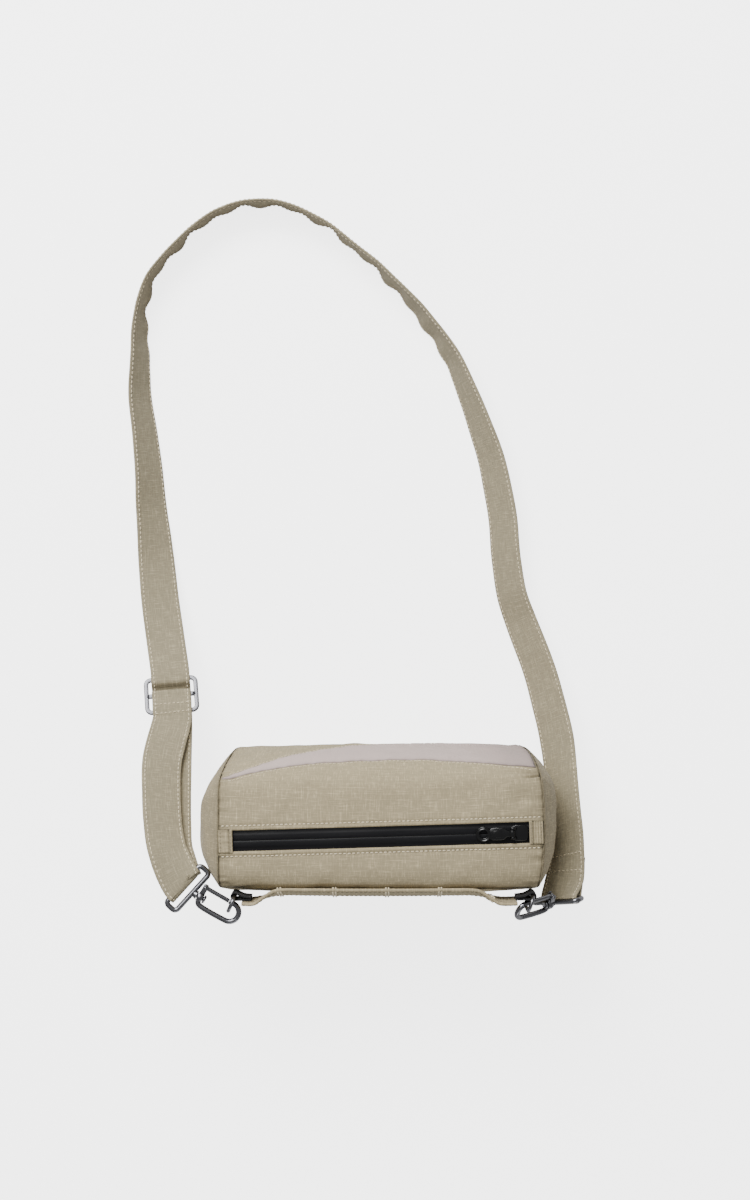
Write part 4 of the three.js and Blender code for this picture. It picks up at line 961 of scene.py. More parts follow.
def stitches(line, out, pitch, length, radius):
    """A row of stitches along a line: each is a short thread that rises from the cloth and goes back,
    so its middle line is half a wave high, and its section is a small hexagon that narrows at both
    ends. One stitch is worked out once and set at every pitch, turned along the line."""
    even = evenly(np.hstack([line, out]), pitch)
    at = (even[1:, :3] + even[:-1, :3]) / 2
    along = unit(even[1:, :3] - even[:-1, :3])
    up = square_to(along, unit((even[1:, 3:] + even[:-1, 3:]) / 2))
    share = np.linspace(-1, 1, STITCH_STEPS)
    angle = once_round(STITCH_SIDES)
    narrow = np.sqrt(np.maximum(1 - share ** 4, 0.04)) * radius
    rise = radius * 0.9 * (1 - share ** 2) - radius * 0.35
    x = np.repeat(share * length / 2, STITCH_SIDES)
    y = (narrow[:, None] * np.cos(angle)).ravel()
    z = (rise[:, None] + narrow[:, None] * np.sin(angle)).ravel()
    ends = [[-length / 2 - 0.1, 0, rise[0]], [length / 2 + 0.1, 0, rise[-1]]]
    one = np.vstack([np.column_stack([x, y, z]), ends])
    frames = np.stack([along, np.cross(up, along), up], 1)
    points = at[:, None, :] + np.einsum("pk,nkc->npc", one, frames)
    shift = (np.arange(len(at)) * len(one))[:, None, None]
    faces = [(f[None] + shift).reshape(-1, f.shape[1]) for f in capped(STITCH_STEPS, STITCH_SIDES)]
    return points.reshape(-1, 3), faces


def sewn(name, rows, material=THREAD, pitch=3.0, length=2.2, radius=0.36):
    """Several rows of stitches as one piece."""
    shapes = [stitches(line, out, pitch, length, radius) for line, out in rows]
    points, faces = collected(shapes)
    build(name, points, faces, material)


# Wrap: one sheet from the zip's front edge down the front, under the base and up the back to the
# zip's back edge

WRAP_COLUMNS = 151
WRAP_ROWS = 250


def eased(count, first_step):
    """Places from -1 to 1: 0.4 of an even step plus 0.6 of its sine, which is finer towards the ends,
    after a first step that leaves room for the rolled edge."""
    even = np.linspace(-1, 1, count - 2)
    inner = (0.4 * even + 0.6 * np.sin(even * np.pi / 2)) * (1 - first_step)
    return np.concatenate([[-1.0], inner, [1.0]])


def fold_shade(share, row):
    """Extra shade in the deeper dents."""
    return 0.16 * np.clip(dented(share, row) - 0.6, 0, 2)


def make_wrap():
    """Length by girth grid on the dressed face, finer towards its edges. At both zip edges and both
    end seams the sheet rolls in as a quarter circle and goes on a little way inside."""
    share = eased(WRAP_COLUMNS, 1.4 * ROLL / HALF_TOP)
    x = share * HALF_TOP
    start = rows_at(x, 1, zip_line_y(x, WINDOW_WIDTH / 2), TOP_ROWS)
    end = rows_at(x, 1, zip_line_y(x, -WINDOW_WIDTH / 2), TOP_ROWS)
    t = (0.5 + 0.5 * eased(WRAP_ROWS, 2.8 * ROLL / GIRTH[-1]))[:, None]
    row = np.mod(start - t * (ROWS - (end - start)), ROWS)
    points, out = face_points(share, row)
    # Painted shade in the deeper dents and towards the right-hand end
    painted_crease_and_end_shade = fold_shade(np.broadcast_to(share, row.shape), row) + 0.12 * bell(share - 1, 0.2)
    v = girth_at(start) - t * (GIRTH[-1] - WINDOW_WIDTH)
    uv = np.stack(np.broadcast_arrays(x, v), -1)
    points, out, uv = rolled(points, out, uv, 0)
    points, out, uv = rolled(points, out, uv, 1)
    edge = HALF_TOP - np.abs(uv[..., 0])
    off_stitches = zip_distance(points) - STITCH_FROM_ZIP
    # Painted shade along both end seams and along the stitch rows beside the zip
    shade = 0.3 * bell(edge, 0.9) + 0.15 * bell(edge, 4.5) + 0.3 * bell(off_stitches, 0.7)
    shade = shade + np.pad(painted_crease_and_end_shade, ROLLED_ROWS, "edge")
    piece = build("bag_wrap", points, grid_faces(*points.shape[:2]), RIPSTOP, uv=uv, shade=shade)
    thicken(piece, CLOTH)
    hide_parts("body_wrap")


def rolled(points, out, uv, axis):
    """A grid again with both its edges along one axis rolled in: a quarter circle of radius ROLL,
    then a straight stretch behind the face."""
    swap = (lambda a: a) if axis == 0 else (lambda a: np.swapaxes(a, 0, 1))
    points, out, uv = swap(points), swap(out), swap(uv)
    angle = np.linspace(0, np.pi / 2, 5)[1:]
    ahead = np.concatenate([ROLL * np.sin(angle), [ROLL, ROLL * 0.9]])[:, None, None]
    down = np.concatenate([ROLL * (1 - np.cos(angle)), [ROLL + 1.2, ROLL + 3]])[:, None, None]
    run = np.concatenate([ROLL * angle, [ROLL * 1.57 + 1.2, ROLL * 1.57 + 3]])[:, None, None]
    flat = points.copy()
    edges = []
    for edge, inner in ((0, 1), (-1, -2)):
        away = unit(points[edge] - points[inner])
        flat[edge] = points[edge] - away * ROLL
        edges.append((
            flat[edge] + away * ahead - out[edge] * down,
            np.repeat(out[edge][None], ROLLED_ROWS, 0),
            uv[edge] + unit(uv[edge] - uv[inner]) * (run - ROLL),
        ))
    joined = [
        np.concatenate([first[::-1], middle, last])
        for first, middle, last in zip(edges[0], (flat, out, uv), edges[1])
    ]
    return [swap(grid) for grid in joined]


def make_gusset(side_name, side):
    """An end: a dish between its middle and the end seam. It bulges out by one less the share of the
    way to the seam to the power of GUSSET_FULLNESS, a little more to the front on the right, and its
    rim rolls in beside the wrap's. The right-hand swell shows near its rim alone."""
    rim_rows = np.linspace(0, ROWS, RIM_POINTS + 1)[:-1]
    rim = bag_points(side, rim_rows)
    share = np.concatenate([np.linspace(0.02, 0.9, 44), np.linspace(0.92, 1, 9)])[:, None]
    flat = GUSSET_MIDDLE + (rim[None, :, 1:] - GUSSET_MIDDLE) * share[..., None]
    middle_half = (HALF_BASE + HALF_TOP) / 2
    swell = (side > 0) * right_swell(rim_rows)
    seam = middle_half + (np.abs(rim[None, :, 0]) - swell - middle_half) * share + 0.1
    seam = seam + swell * share ** 12
    towards_front = unit(rim[:, 1:] - GUSSET_MIDDLE) @ np.array([0.8, 0.6])
    fuller = RIGHT_CORNER_FULLNESS * np.clip(towards_front, 0, 1) * (side > 0)
    lift = GUSSET_BULGE[side_name] * (1 - share ** (GUSSET_FULLNESS + fuller))
    from_rim = (1 - share) * SEAM_REACH
    waves = ripples(flat[..., 0] * 1.3 + 40 * side, flat[..., 1] * 1.3)
    waves = waves + puckers(girth_at(rim_rows)[None], from_rim, 7.0, 0.4)
    waves = waves * np.clip((1 - share) * 8, 0, 1) * np.clip(share * 4, 0, 1)
    points = np.stack([side * (seam + lift + waves * 0.8), flat[..., 0], flat[..., 1]], -1)
    roll = np.linspace(0, np.pi / 2, 5)[1:, None, None]
    inward = np.pad(unit(GUSSET_MIDDLE - rim[:, 1:]), ((0, 0), (1, 0)))
    lip = points[-1] + inward * ROLL * (1 - np.cos(roll)) * 0.6 - np.sin(roll) * [side * ROLL * 0.3, 0, 0]
    points = np.concatenate([points, lip])
    from_rim = np.append(from_rim, np.zeros(len(lip)))
    # Painted shade along the rim beside the end seam
    shade = np.repeat(0.3 * bell(from_rim, 1.0) + 0.15 * bell(from_rim, 6.0), RIM_POINTS)
    faces = grid_faces(*points.shape[:2], wrap_columns=True)
    points = np.vstack([points.reshape(-1, 3), points[0].mean(0)])
    j = np.arange(RIM_POINTS)
    fan = np.stack([np.full(RIM_POINTS, len(points) - 1), (j + 1) % RIM_POINTS, j], -1)
    if side > 0:
        faces, fan = faces[:, ::-1], fan[:, ::-1]
    piece = build("bag_end_" + side_name, points, [faces, fan], RIPSTOP, uv=points[:, 1:],
                  shade=np.append(shade, 0.0))
    thicken(piece, CLOTH)
    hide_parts("gusset_" + side_name)


make_wrap()
make_gusset("left", -1.0)
make_gusset("right", 1.0)


# Wedge

def stripe_edge(share, column):
    """Height of one of the wedge's long edges."""
    return np.interp(share, STRIPE_EDGES[:, 0], STRIPE_EDGES[:, column]) * BAG_HEIGHT


def make_stripe():
    """The wedge: a sheet over the wrap between its two edges, whose rim dips into the cloth as a sewn
    seam does."""
    reach = 0.985
    share = np.linspace(-reach, reach, 141)[:, None]
    upper = stripe_edge(share, 1)
    lower = stripe_edge(share, 2)
    t = np.linspace(0, 1, 70)[None]
    z = lower + (upper - lower) * t
    row = rows_at(share * half_length(z), 2, z, FRONT_ROWS)
    share = np.broadcast_to(share, row.shape)
    edge = np.minimum(t, 1 - t) * (upper - lower)
    near = np.minimum(edge, (reach - np.abs(share)) * HALF_TOP)
    above = 0.45 * np.clip(near / 1.2, 0, 1) ** 0.5 + puckers(share * HALF_TOP, edge, 5.0, 0.2)
    points = face_points(share, row, np.maximum(above, 0.1))[0]
    uv = np.stack([share * HALF_TOP, girth_at(row)], -1)
    # Painted shade along the wedge's sewn rim, towards its right-hand end and in the deeper dents
    shade = 0.4 * bell(near, 0.8) + 0.12 * bell(near, 3.0) + 0.3 * bell(share - 1, 0.3)
    shade = shade + fold_shade(share, row)
    piece = build("front_wedge", points, grid_faces(*row.shape), SMOOTH_CLOTH,
                  uv=uv, shade=shade)
    thicken(piece, 0.4)
    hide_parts("front_stripe")


def wedge_stitches():
    """A fine row just outside each long edge of the wedge."""
    share = np.linspace(-0.95, 0.96, 160)
    rows = []
    for column, step in ((1, 1.4), (2, -1.4)):
        z = stripe_edge(share, column) + step
        rows.append(face_points(share, rows_at(share * half_length(z), 2, z, FRONT_ROWS), 0.05))
    sewn("wedge_stitches", rows, pitch=2.6, length=1.9, radius=0.26)


make_stripe()
wedge_stitches()


# Zip

def outward(faces, side):
    """Faces of a grid along the zip and across it, the right way round on either side."""
    return faces if side < 0 else faces[:, ::-1]


def make_tape(side_name, side):
    """A tape under the window: flat cloth, with a rounded swelling beside the slit over the coil and
    a dip at its very edge."""
    across = np.concatenate([[0.06, 0.1], np.linspace(0.25, 4, 12), np.linspace(4.5, 15, 10)])[None]
    along = np.linspace(-HALF_TOP - ZIP_X + 1.2, HALF_TOP - ZIP_X - 1.2, 200)[:, None]
    along, across = np.broadcast_arrays(along, across)
    swell = 0.3 * np.exp(-((across - 2.2) / 2.0) ** 4)
    wave = 0.12 * np.sin(along * 0.11 + side) * np.clip(across / 6, 0, 1)
    dip = np.append([0.25, 0.05], np.zeros(across.shape[1] - 2))
    points = zip_points(along, side * across, TAPE_DEPTH + dip - swell - wave)
    faces = outward(grid_faces(*along.shape), side)
    piece = build("zip_tape_dressed_" + side_name, points, faces, ZIP_COATING,
                  uv=np.stack([along, across], -1))
    thicken(piece, 0.6)
    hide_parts("zip_tape_" + side_name)


def make_patch(side_name, side, length):
    """An end patch: a small sheet across the zip with its edges turned under, a sewn groove near its
    inner edge and, on the right, close ribs."""
    stretch = 0.8 * RIGHT_SWELL * (side > 0)
    length = length + stretch
    seam = HALF_TOP - side * ZIP_X - LAY_GAP + stretch
    u = np.linspace(0, 1, 30)[:, None]
    v = np.linspace(-1, 1, 44)[None]
    inner = u * length
    along, across = np.broadcast_arrays(side * (seam - length * (1 - u)), v * PATCH_WIDTH / 2)
    edge = np.minimum(np.minimum(inner, 6.0), (1 - np.abs(v)) * PATCH_WIDTH / 2)
    rise = PATCH_RISE * (1 - np.clip(1 - edge / 0.8, 0, 1) ** 2) ** 0.5
    groove = 0.28 * bell(inner - 2.2, 0.5) * (np.abs(v) < 0.93)
    if side > 0:
        ribs = 0.22 * np.sin(inner * 2 * np.pi / 1.5)
    else:
        ribs = 0.1 * np.sin(across * 1.9) * np.clip(inner / 3, 0, 1)
    # Painted shade round the patch's turned-under edges, along its sewn groove and in the troughs of its ribs
    shade = 0.65 * bell(edge, 0.6) * (inner > 1.5) + 0.4 * bell(inner - 2.2, 0.5)
    shade = shade - 1.2 * np.minimum(ribs, 0)
    points = zip_points(along, across, groove - rise - ribs)
    faces = outward(grid_faces(*along.shape), side)
    piece = build("zip_end_" + side_name, points, faces, RIPSTOP, uv=np.stack([along, across], -1),
                  shade=shade)
    thicken(piece, 0.5)
    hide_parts("zip_patch_" + side_name)
    rows = []
    for place in (1.5, length - 1.2):
        across_line = np.linspace(-PATCH_WIDTH / 2 + 1, PATCH_WIDTH / 2 - 1, 16)
        line = zip_points(np.full(16, side * (seam - length + place)), across_line, -PATCH_RISE - 0.05)
        rows.append((line, np.tile(UP, (16, 1))))
    sewn("zip_end_stitches_" + side_name, rows, RIPSTOP_THREAD, pitch=1.9, length=1.5, radius=0.22)


def zip_topstitch():
    """Two cream rows, one each side of the zip from seam to seam."""
    x = np.linspace(-95.5, 95.5, 160)
    rows = []
    for side in (1, -1):
        y = zip_line_y(x, side * (WINDOW_WIDTH / 2 + STITCH_FROM_ZIP))
        rows.append(face_points(x / HALF_TOP, rows_at(x, 1, y, TOP_ROWS), 0.12))
    sewn("zip_topstitch", rows, pitch=2.7, length=1.9, radius=0.4)


make_tape("front", 1)
make_tape("back", -1)
make_patch("left", -1.0, PATCH_LEFT_LENGTH)
make_patch("right", 1.0, PATCH_RIGHT_LENGTH)
zip_topstitch()

SLIDER_MIDDLE = HALF_TOP - ZIP_X - LAY_GAP - PATCH_RIGHT_LENGTH - 0.6 - SLIDER_LENGTH / 2
PIN_HEIGHT = SLIDER_PLATE + LAY_GAP + EYE_RADIUS
PIN_FROM_MIDDLE = -SLIDER_LENGTH / 2 + 1.2
SLIDER_AT = zip_points(np.array([SLIDER_MIDDLE]), np.array([0.0]), TAPE_DEPTH - LAY_GAP)[0]
ZIP_ALONG = np.array([math.cos(ZIP_TURN), math.sin(ZIP_TURN), 0])
ZIP_ACROSS = np.array([-math.sin(ZIP_TURN), math.cos(ZIP_TURN), 0])
PIN_AT = SLIDER_AT + ZIP_ALONG * PIN_FROM_MIDDLE + UP * PIN_HEIGHT


def both_sides(half_outline):
    """A plate's outline from the points of one edge: those, and then their mirror images the other
    way round."""
    near = np.array(half_outline)
    return np.vstack([near, near[::-1] * [1, -1]])


def make_slider():
    """The slider: a shaped plate with rounded edges, a bridge of two cheeks and the puller's pin."""
    half = SLIDER_WIDTH / 2
    outline = both_sides([
        (-5.5, -half * 0.7), (-2.2, -half), (0.5, -half), (3.6, -half), (5.0, -half * 0.8),
        (5.5, -half * 0.45),
    ])
    plate, plate_faces = slab(outline, SLIDER_PLATE, 0.5)
    plate = plate + UP * SLIDER_PLATE / 2
    shapes = [(placed(plate, SLIDER_AT, ZIP_ALONG, ZIP_ACROSS, UP), plate_faces)]
    wall = (PULLER_WIDTH * 0.5 + 2 * LAY_GAP) / 2 + 0.6
    cheek = np.array([(-1.2, 0), (1.6, 0), (3.4, 0), (2.8, 2.6), (1.4, 4.6), (-0.4, 4.7), (-1.2, 3.8)])
    for side in (-1, 1):
        points, faces = slab(cheek, 1.2, 0.3)
        centre = SLIDER_AT + ZIP_ALONG * PIN_FROM_MIDDLE + ZIP_ACROSS * side * wall
        shapes.append((placed(points, centre, ZIP_ALONG, UP, -ZIP_ACROSS), faces))
    reach = wall + 0.4
    pin = [(-reach, 0), (-reach, 0.7), (reach, 0.7), (reach, 0)]
    shapes.append(turned_shape(pin, PIN_AT, ZIP_ACROSS, 16))
    points, faces = collected(shapes)
    piece = build("slider", points, faces, BLACK_GLOSS)
    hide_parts("zip_slider")


def make_puller():
    """The puller: a bored eye on the pin, a waisted flat plate and a round end with a raised rim. It
    lies on the tapes, so it tilts by the drop from the pin to them over its length."""
    tip_reach = PULLER_LENGTH + PULLER_RING_REACH
    at = SLIDER_MIDDLE + PIN_FROM_MIDDLE - tip_reach + PULLER_RING_REACH * np.arange(3)
    under_tip = zip_points(at, np.zeros(3), TAPE_DEPTH)[:, 2].max()
    drop = PIN_AT[2] - PULLER_PLATE / 2 - under_tip - 1.5 * LAY_GAP
    tilt = math.asin(drop / tip_reach)
    x_axis = ZIP_ALONG * math.cos(tilt) + UP * math.sin(tilt)
    z_axis = np.cross(x_axis, ZIP_ACROSS)
    turn = once_round(48)
    round_line = PULLER_RING_MIDDLE * np.stack([np.cos(turn), np.sin(turn), 0 * turn], -1)
    rim = np.array([
        (-1.0, -0.6), (-0.85, -0.75), (0.85, -0.75), (1.0, -0.6), (1.0, 0.65), (0.8, 0.95), (0.4, 0.95),
        (0.2, 0.7), (-0.2, 0.7), (-0.4, 0.95), (-0.8, 0.95), (-1.0, 0.65),
    ])
    half = PULLER_WIDTH / 2
    neck = half * 0.5
    outline = both_sides([
        (-13.6, -half * 0.82), (-11.6, -half), (-9, -half), (-6.5, -half), (-4.6, -half * 0.85),
        (-3.4, -neck), (-1.0, -neck),
    ])
    raised, raised_faces = slab(both_sides([(-12.2, -half * 0.5), (-6.2, -half * 0.55)]), 0.5, 0.22)
    turn = once_round(24)
    loop = 1.35 * np.stack([np.cos(turn), 0 * turn, np.sin(turn)], -1)
    points, faces = collected([
        ring(round_line - [PULLER_LENGTH, 0, 0], UP, rim),
        slab(outline, PULLER_PLATE, 0.45),
        (raised + [0, 0, 0.85], raised_faces),
        ring(loop, np.array([0.0, 1.0, 0.0]), rounded_box(0.68, 2 * neck, 0.2, 3)),
    ])
    points = placed(points, PIN_AT, x_axis, ZIP_ACROSS, z_axis)
    piece = build("puller", points, faces, BLACK_GLOSS, "zip_puller")
    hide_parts("zip_puller")


make_slider()
make_puller()


# Ribbons: flat strips of doubled cloth along stations

def ribbon_section(width, thickness, across_points=15):
    """Once round a strip: flat faces whose middle swells a little between the stitched edges, and
    round edges."""
    x = np.linspace(-1, 1, across_points)
    half = thickness / 2
    swell = half * (0.9 + 0.14 * (1 - x ** 4) - 0.12 * np.exp(-((np.abs(x) - 0.84) / 0.035) ** 2))
    flat = width / 2 - half * 0.8
    top = np.stack([x * flat, swell], -1)
    turn = np.linspace(np.pi / 2, -np.pi / 2, 6)[1:-1]
    right = np.stack([flat + half * 0.8 * np.cos(turn), half * 0.78 * np.sin(turn)], -1)
    bottom = top[::-1] * [1, -1]
    return np.concatenate([top, right, bottom, right[::-1] * [-1, 1]])


def ribbon(name, at, across, width, thickness, material):
    """A strip through stations: its own up is square to the way along and the way across, and its
    UV is the distance along it and the place across it, alike on both faces."""
    along = tangents(at)
    across = square_to(along, across)
    up = unit(np.cross(along, across))
    section = ribbon_section(width, thickness)
    points = swept(at, across, up, section)
    run = distances(at)
    uv = np.stack(np.broadcast_arrays(run[:, None], section[None, :, 0]), -1)
    faces = [f[:, ::-1] for f in capped(*points.shape[:2])]
    points = np.vstack([points.reshape(-1, 3), at[:1], at[-1:]])
    uv = np.vstack([uv.reshape(-1, 2), [[run[0], 0], [run[-1], 0]]])
    return build(name, points, faces, material, uv=uv), run, across, up


def strip_rows(at, across, up, reach, thickness):
    """Stitch lines along a strip, near both its edges and on both its faces."""
    return [
        (at + across * place + up * face * thickness * 0.45, up * face)
        for place in (-reach, reach)
        for face in (1, -1)
    ]


def cross_rows(at, across, up, run, places, reach, thickness):
    """Stitch lines straight across both faces of a strip, at distances along it."""
    rows = []
    t = np.linspace(-reach, reach, 14)[:, None]
    for place in places:
        middle, way, out = (
            np.array([np.interp(place, run, field[:, k]) for k in range(3)]) for field in (at, across, up)
        )
        for face in (1, -1):
            rows.append((middle + t * way + out * face * thickness * 0.5, np.tile(out * face, (14, 1))))
    return rows


# Back band and the rings' tabs

def band_seat(x):
    """Depth and slope of a flat strip that only just clears the back at some x: its slope is that of
    the back from its lower to its upper edge, moved out past the back's fullest point between."""
    heights = BAND_HEIGHT + np.array([-1, -0.5, 0, 0.5, 1]) * BAND_WIDTH / 2 * 0.93
    row = rows_at(x[:, None], 2, np.minimum(heights, BAG_HEIGHT * 0.95), BACK_ROWS)
    depth = bag_points(x[:, None] / HALF_TOP, row)[..., 1]
    slope = (depth[:, 4] - depth[:, 0]) / (heights[4] - heights[0])
    sag = (depth - (depth[:, :1] + slope[:, None] * (heights - heights[0]))).min(1)
    y = depth[:, 0] + slope * (BAND_HEIGHT - heights[0]) + sag - LAY_GAP - BAND_THICKNESS / 2
    return y, slope


def make_band():
    """The band: flat on the back in the middle, with free ends that reach the rings."""
    place, lift, upright = BAND_ROWS.T
    ring_bar = np.where(place[:, None] < 0, HOOKS["left"]["ring_bar"], HOOKS["right"]["ring_bar"])
    x = np.abs(place) * ring_bar[:, 0]
    y, slope = band_seat(x)
    out = ring_bar[:, 1] - D_RING_WIRE / 2 - 2 * LAY_GAP - TAB_THICKNESS - BAND_THICKNESS / 2
    y = y + (out - y) * lift
    slope = slope * (1 - upright)
    at = np.stack([x, y, np.full(len(x), BAND_HEIGHT)], -1)
    across = unit(np.stack([0 * x, slope, np.ones(len(x))], -1))
    places = np.linspace(0, len(x) - 1, 170)
    at = smooth_line(at, places)
    across = unit(smooth_line(across, places))
    piece, run, across, up = ribbon("band_cloth", at, across, BAND_WIDTH, BAND_THICKNESS, RIPSTOP)
    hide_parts("back_band")
    rows = strip_rows(at, across, up, BAND_WIDTH / 2 - BAND_STITCH_INSET, BAND_THICKNESS)
    sewn("band_stitches", rows, RIPSTOP_THREAD, pitch=2.8, length=2.2, radius=0.22)
    tacks = np.interp(BAND_TACKS, at[:, 0], run)
    pairs = (tacks[:, None] + TACK_ROWS).ravel()
    rows = cross_rows(at, across, up, run, pairs, BAND_WIDTH / 2 - 0.7, BAND_THICKNESS)
    sewn("band_tacks", rows, pitch=1.7, length=1.9, radius=0.55)


def make_tab(side_name, side):
    """A webbing tab folded round the upright bar of its ring: two flat stretches and a half circle."""
    hook = HOOKS[side_name]
    inward = np.array([-side, 0, 0])
    radius = D_RING_WIRE / 2 + LAY_GAP + TAB_THICKNESS / 2
    middle = np.append(hook["ring_bar"][:2], hook["crossing"][2] - 1)
    flat = [TAB_LENGTH, TAB_LENGTH / 2]
    reach = np.concatenate([flat, -radius * np.sin(HALF_TURN), flat[::-1]])
    closed = radius - TAB_THICKNESS - LAY_GAP
    lift = np.concatenate([[radius, radius], radius * np.cos(HALF_TURN), [closed - 0.7, closed]])
    at = middle + reach[:, None] * inward - lift[:, None] * [0, 1, 0]
    at = smooth_line(at, np.linspace(0, len(at) - 1, 90))
    across = np.tile(UP, (90, 1))
    name = "webbing_tab_" + side_name
    piece = ribbon(name, at, across, TAB_WIDTH, TAB_THICKNESS, WEBBING)[0]
    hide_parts("ring_tab_" + side_name)


make_band()
make_tab("left", -1.0)
make_tab("right", 1.0)


# Snap hooks, their gates, the strap loops and the small rings

def hook_shape():
    """The hook's wire in its own frame: nose, round bend, spine and base, on the solids' points."""
    bend_middle = (SPINE + GATE_SIDE) / 2
    angle = np.pi * np.arange(1, 10) / 10
    bend = np.stack([
        HOOK_BEND_START + HOOK_WIDTH / 2 * np.sin(angle),
        bend_middle - HOOK_WIDTH / 2 * np.cos(angle),
        0 * angle,
    ], -1)
    corner = 2.6
    points = np.vstack([
        [GATE_END + 0.35, GATE_SIDE, 0],
        [HOOK_BEND_START, GATE_SIDE, 0],
        bend,
        [HOOK_BEND_START, SPINE, 0],
        [HOOK_BASE + corner, SPINE, 0],
        [HOOK_BASE + corner * 0.3, SPINE - corner * 0.3, 0],
        [HOOK_BASE, SPINE - corner, 0],
        [HOOK_BASE, GATE_SIDE + GATE_WIRE, 0],
    ])
    return smooth_line(points, np.linspace(0, len(points) - 1, 150))


def make_hook(side_name):
    """The hook: its wire, the eye's barrel round the stud, and two ears with the gate's rivet."""
    hook = HOOKS[side_name]
    half = HOOK_WIRE / 2
    low, high = HOOK_BASE - half, HOOK_BASE + half
    barrel = np.array([
        (low, 1.8), (low, 3.0), (low + 0.4, 3.3), (high - 0.4, 3.3), (high, 3.0), (high, 1.8),
    ])
    turn = once_round(32)[:, None]
    barrel_points = np.stack([
        barrel[:, 0] + 0 * turn,
        barrel[:, 1] * np.cos(turn),
        barrel[:, 1] * np.sin(turn),
    ], -1)
    rivet_at = np.array([HOOK_BASE, GATE_SIDE, 0])
    rivet_head = [(1.5, 0), (1.5, 0.7), (2.35, 0.95), (2.75, 0.8), (2.95, 0.4), (3.0, 0)]
    rivet_pin = [(-2.0, 0), (-2.0, 0.7), (2.0, 0.7), (2.0, 0)]
    ear, ear_faces = slab(np.array(EAR_OUTLINE), 0.8, 0.22)
    shapes = [
        rod(hook_shape(), UP, circle(half * HOOK_SLIMMED, 20), ends=0.25),
        (barrel_points.reshape(-1, 3), [grid_faces(len(turn), len(barrel), True, True)]),
    ]
    for side in (-1, 1):
        shapes.append((ear + [HOOK_BASE, GATE_SIDE + 1.2, side * 2.0], ear_faces))
        shapes.append(turned_shape(rivet_head, rivet_at, UP * side, 20))
    shapes.append(turned_shape(rivet_pin, rivet_at, UP, 20))
    points, faces = collected(shapes)
    points = placed(points, *hook["frame"])
    piece = build("snap_hook_" + side_name, points, faces, GUNMETAL, "hook_" + side_name)
    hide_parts("hook_" + side_name)


def make_gate(side_name):
    """The gate: a squarish bar with a small eye round the rivet."""
    hook = HOOKS[side_name]
    along = np.linspace(HOOK_BASE + 1.0, GATE_END, 20)
    bar_line = np.stack([along, np.full(20, GATE_SIDE), np.zeros(20)], -1)
    turn = once_round(32)
    eye_line = np.stack([HOOK_BASE + 1.3 * np.cos(turn), GATE_SIDE + 1.3 * np.sin(turn), 0 * turn], -1)
    points, faces = collected([
        rod(bar_line, UP, rounded_box(GATE_WIRE, 2.5, 0.9, 5), ends=0.0),
        ring(eye_line, UP, rounded_box(0.62, GATE_WIRE, 0.2, 3)),
    ])
    points = placed(points, *hook["frame"])
    piece = build("snap_gate_" + side_name, points, faces, GUNMETAL, "gate_" + side_name)
    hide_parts("gate_" + side_name)


def closed_loop(length, depth, corner, middle, first, second, wire):
    """A round wire bent to a rectangle with round corners, on two directions."""
    outline = rounded_outline(length, depth, corner)
    line = middle + outline[:, :1] * first + outline[:, 1:] * second
    return ring(line, unit(np.cross(first, second)), wire)


def make_strap_loop(side_name):
    """The loop that the strap goes through, with the stud on which the hook turns."""
    hook = HOOKS[side_name]
    middle = hook["far_bar"] - hook["far"] * LOOP_DEPTH / 2
    base = HOOK_BASE - HOOK_WIRE / 2
    head = HOOK_BASE + HOOK_WIRE / 2 + 0.3
    stud = [
        (0, 0), (0, 1.65), (1.2, 2.0), (2.6, 2.6), (base - 0.35, 2.6), (base - 0.3, 1.5),
        (head, 1.5), (head + 0.05, 2.45), (head + 0.4, 2.6), (head + 1.0, 2.5), (head + 1.45, 2.0),
        (head + 1.6, 1.2), (head + 1.62, 0),
    ]
    points, faces = collected([
        closed_loop(LOOP_LENGTH, LOOP_DEPTH, LOOP_DEPTH * 0.32, middle, hook["bar"], hook["far"],
                    circle(LOOP_WIRE / 2, 20)),
        turned_shape(stud, hook["at"], hook["along"], 32),
    ])
    piece = build("hook_strap_loop_" + side_name, points, faces, GUNMETAL)
    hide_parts("strap_loop_" + side_name)


def make_small_ring(side_name):
    """The ring at the band's end, upright in its tab."""
    hook = HOOKS[side_name]
    middle = hook["ring_bar"] + hook["ring_out"] * D_RING_DEPTH / 2
    points, faces = closed_loop(D_RING_HEIGHT, D_RING_DEPTH, D_RING_DEPTH * 0.4, middle, UP, hook["ring_out"],
                                circle(D_RING_WIRE / 2 * D_RING_SLIMMED, 18))
    piece = build("small_ring_" + side_name, points, faces, GUNMETAL)
    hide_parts("d_ring_" + side_name)


for side_name in HOOKS:
    make_hook(side_name)
    make_gate(side_name)
    make_strap_loop(side_name)
    make_small_ring(side_name)


# Adjuster

def make_adjuster():
    """A flat frame with a middle bar: a rounded section carried round a rounded rectangle, and the
    same section across its middle."""
    section = rounded_box(ADJUSTER_BAR, ADJUSTER_THICKNESS, 0.55, 5)
    outline = rounded_outline(ADJUSTER_LENGTH - ADJUSTER_BAR, ADJUSTER_WIDTH - ADJUSTER_BAR, 3.2, 9, 8)
    line = np.column_stack([outline, np.zeros(len(outline))])
    reach = ADJUSTER_WIDTH / 2 - ADJUSTER_BAR * 0.6
    bar_line = np.linspace(-reach, reach, 14)[:, None] * [0, 1, 0]
    points, faces = collected([ring(line, UP, section), rod(bar_line, UP, section, ends=0.0)])
    points = placed(points, ADJUSTER_AT, ADJUSTER_ALONG, ADJUSTER_ACROSS, ADJUSTER_FACE)
    piece = build("strap_adjuster", points, faces, NICKEL)
    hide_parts("adjuster")


make_adjuster()


# Strap

def turned(direction, towards, degrees):
    """A direction turned towards another one that is square to it."""
    angle = math.radians(degrees)
    return direction * math.cos(angle) + towards * math.sin(angle)


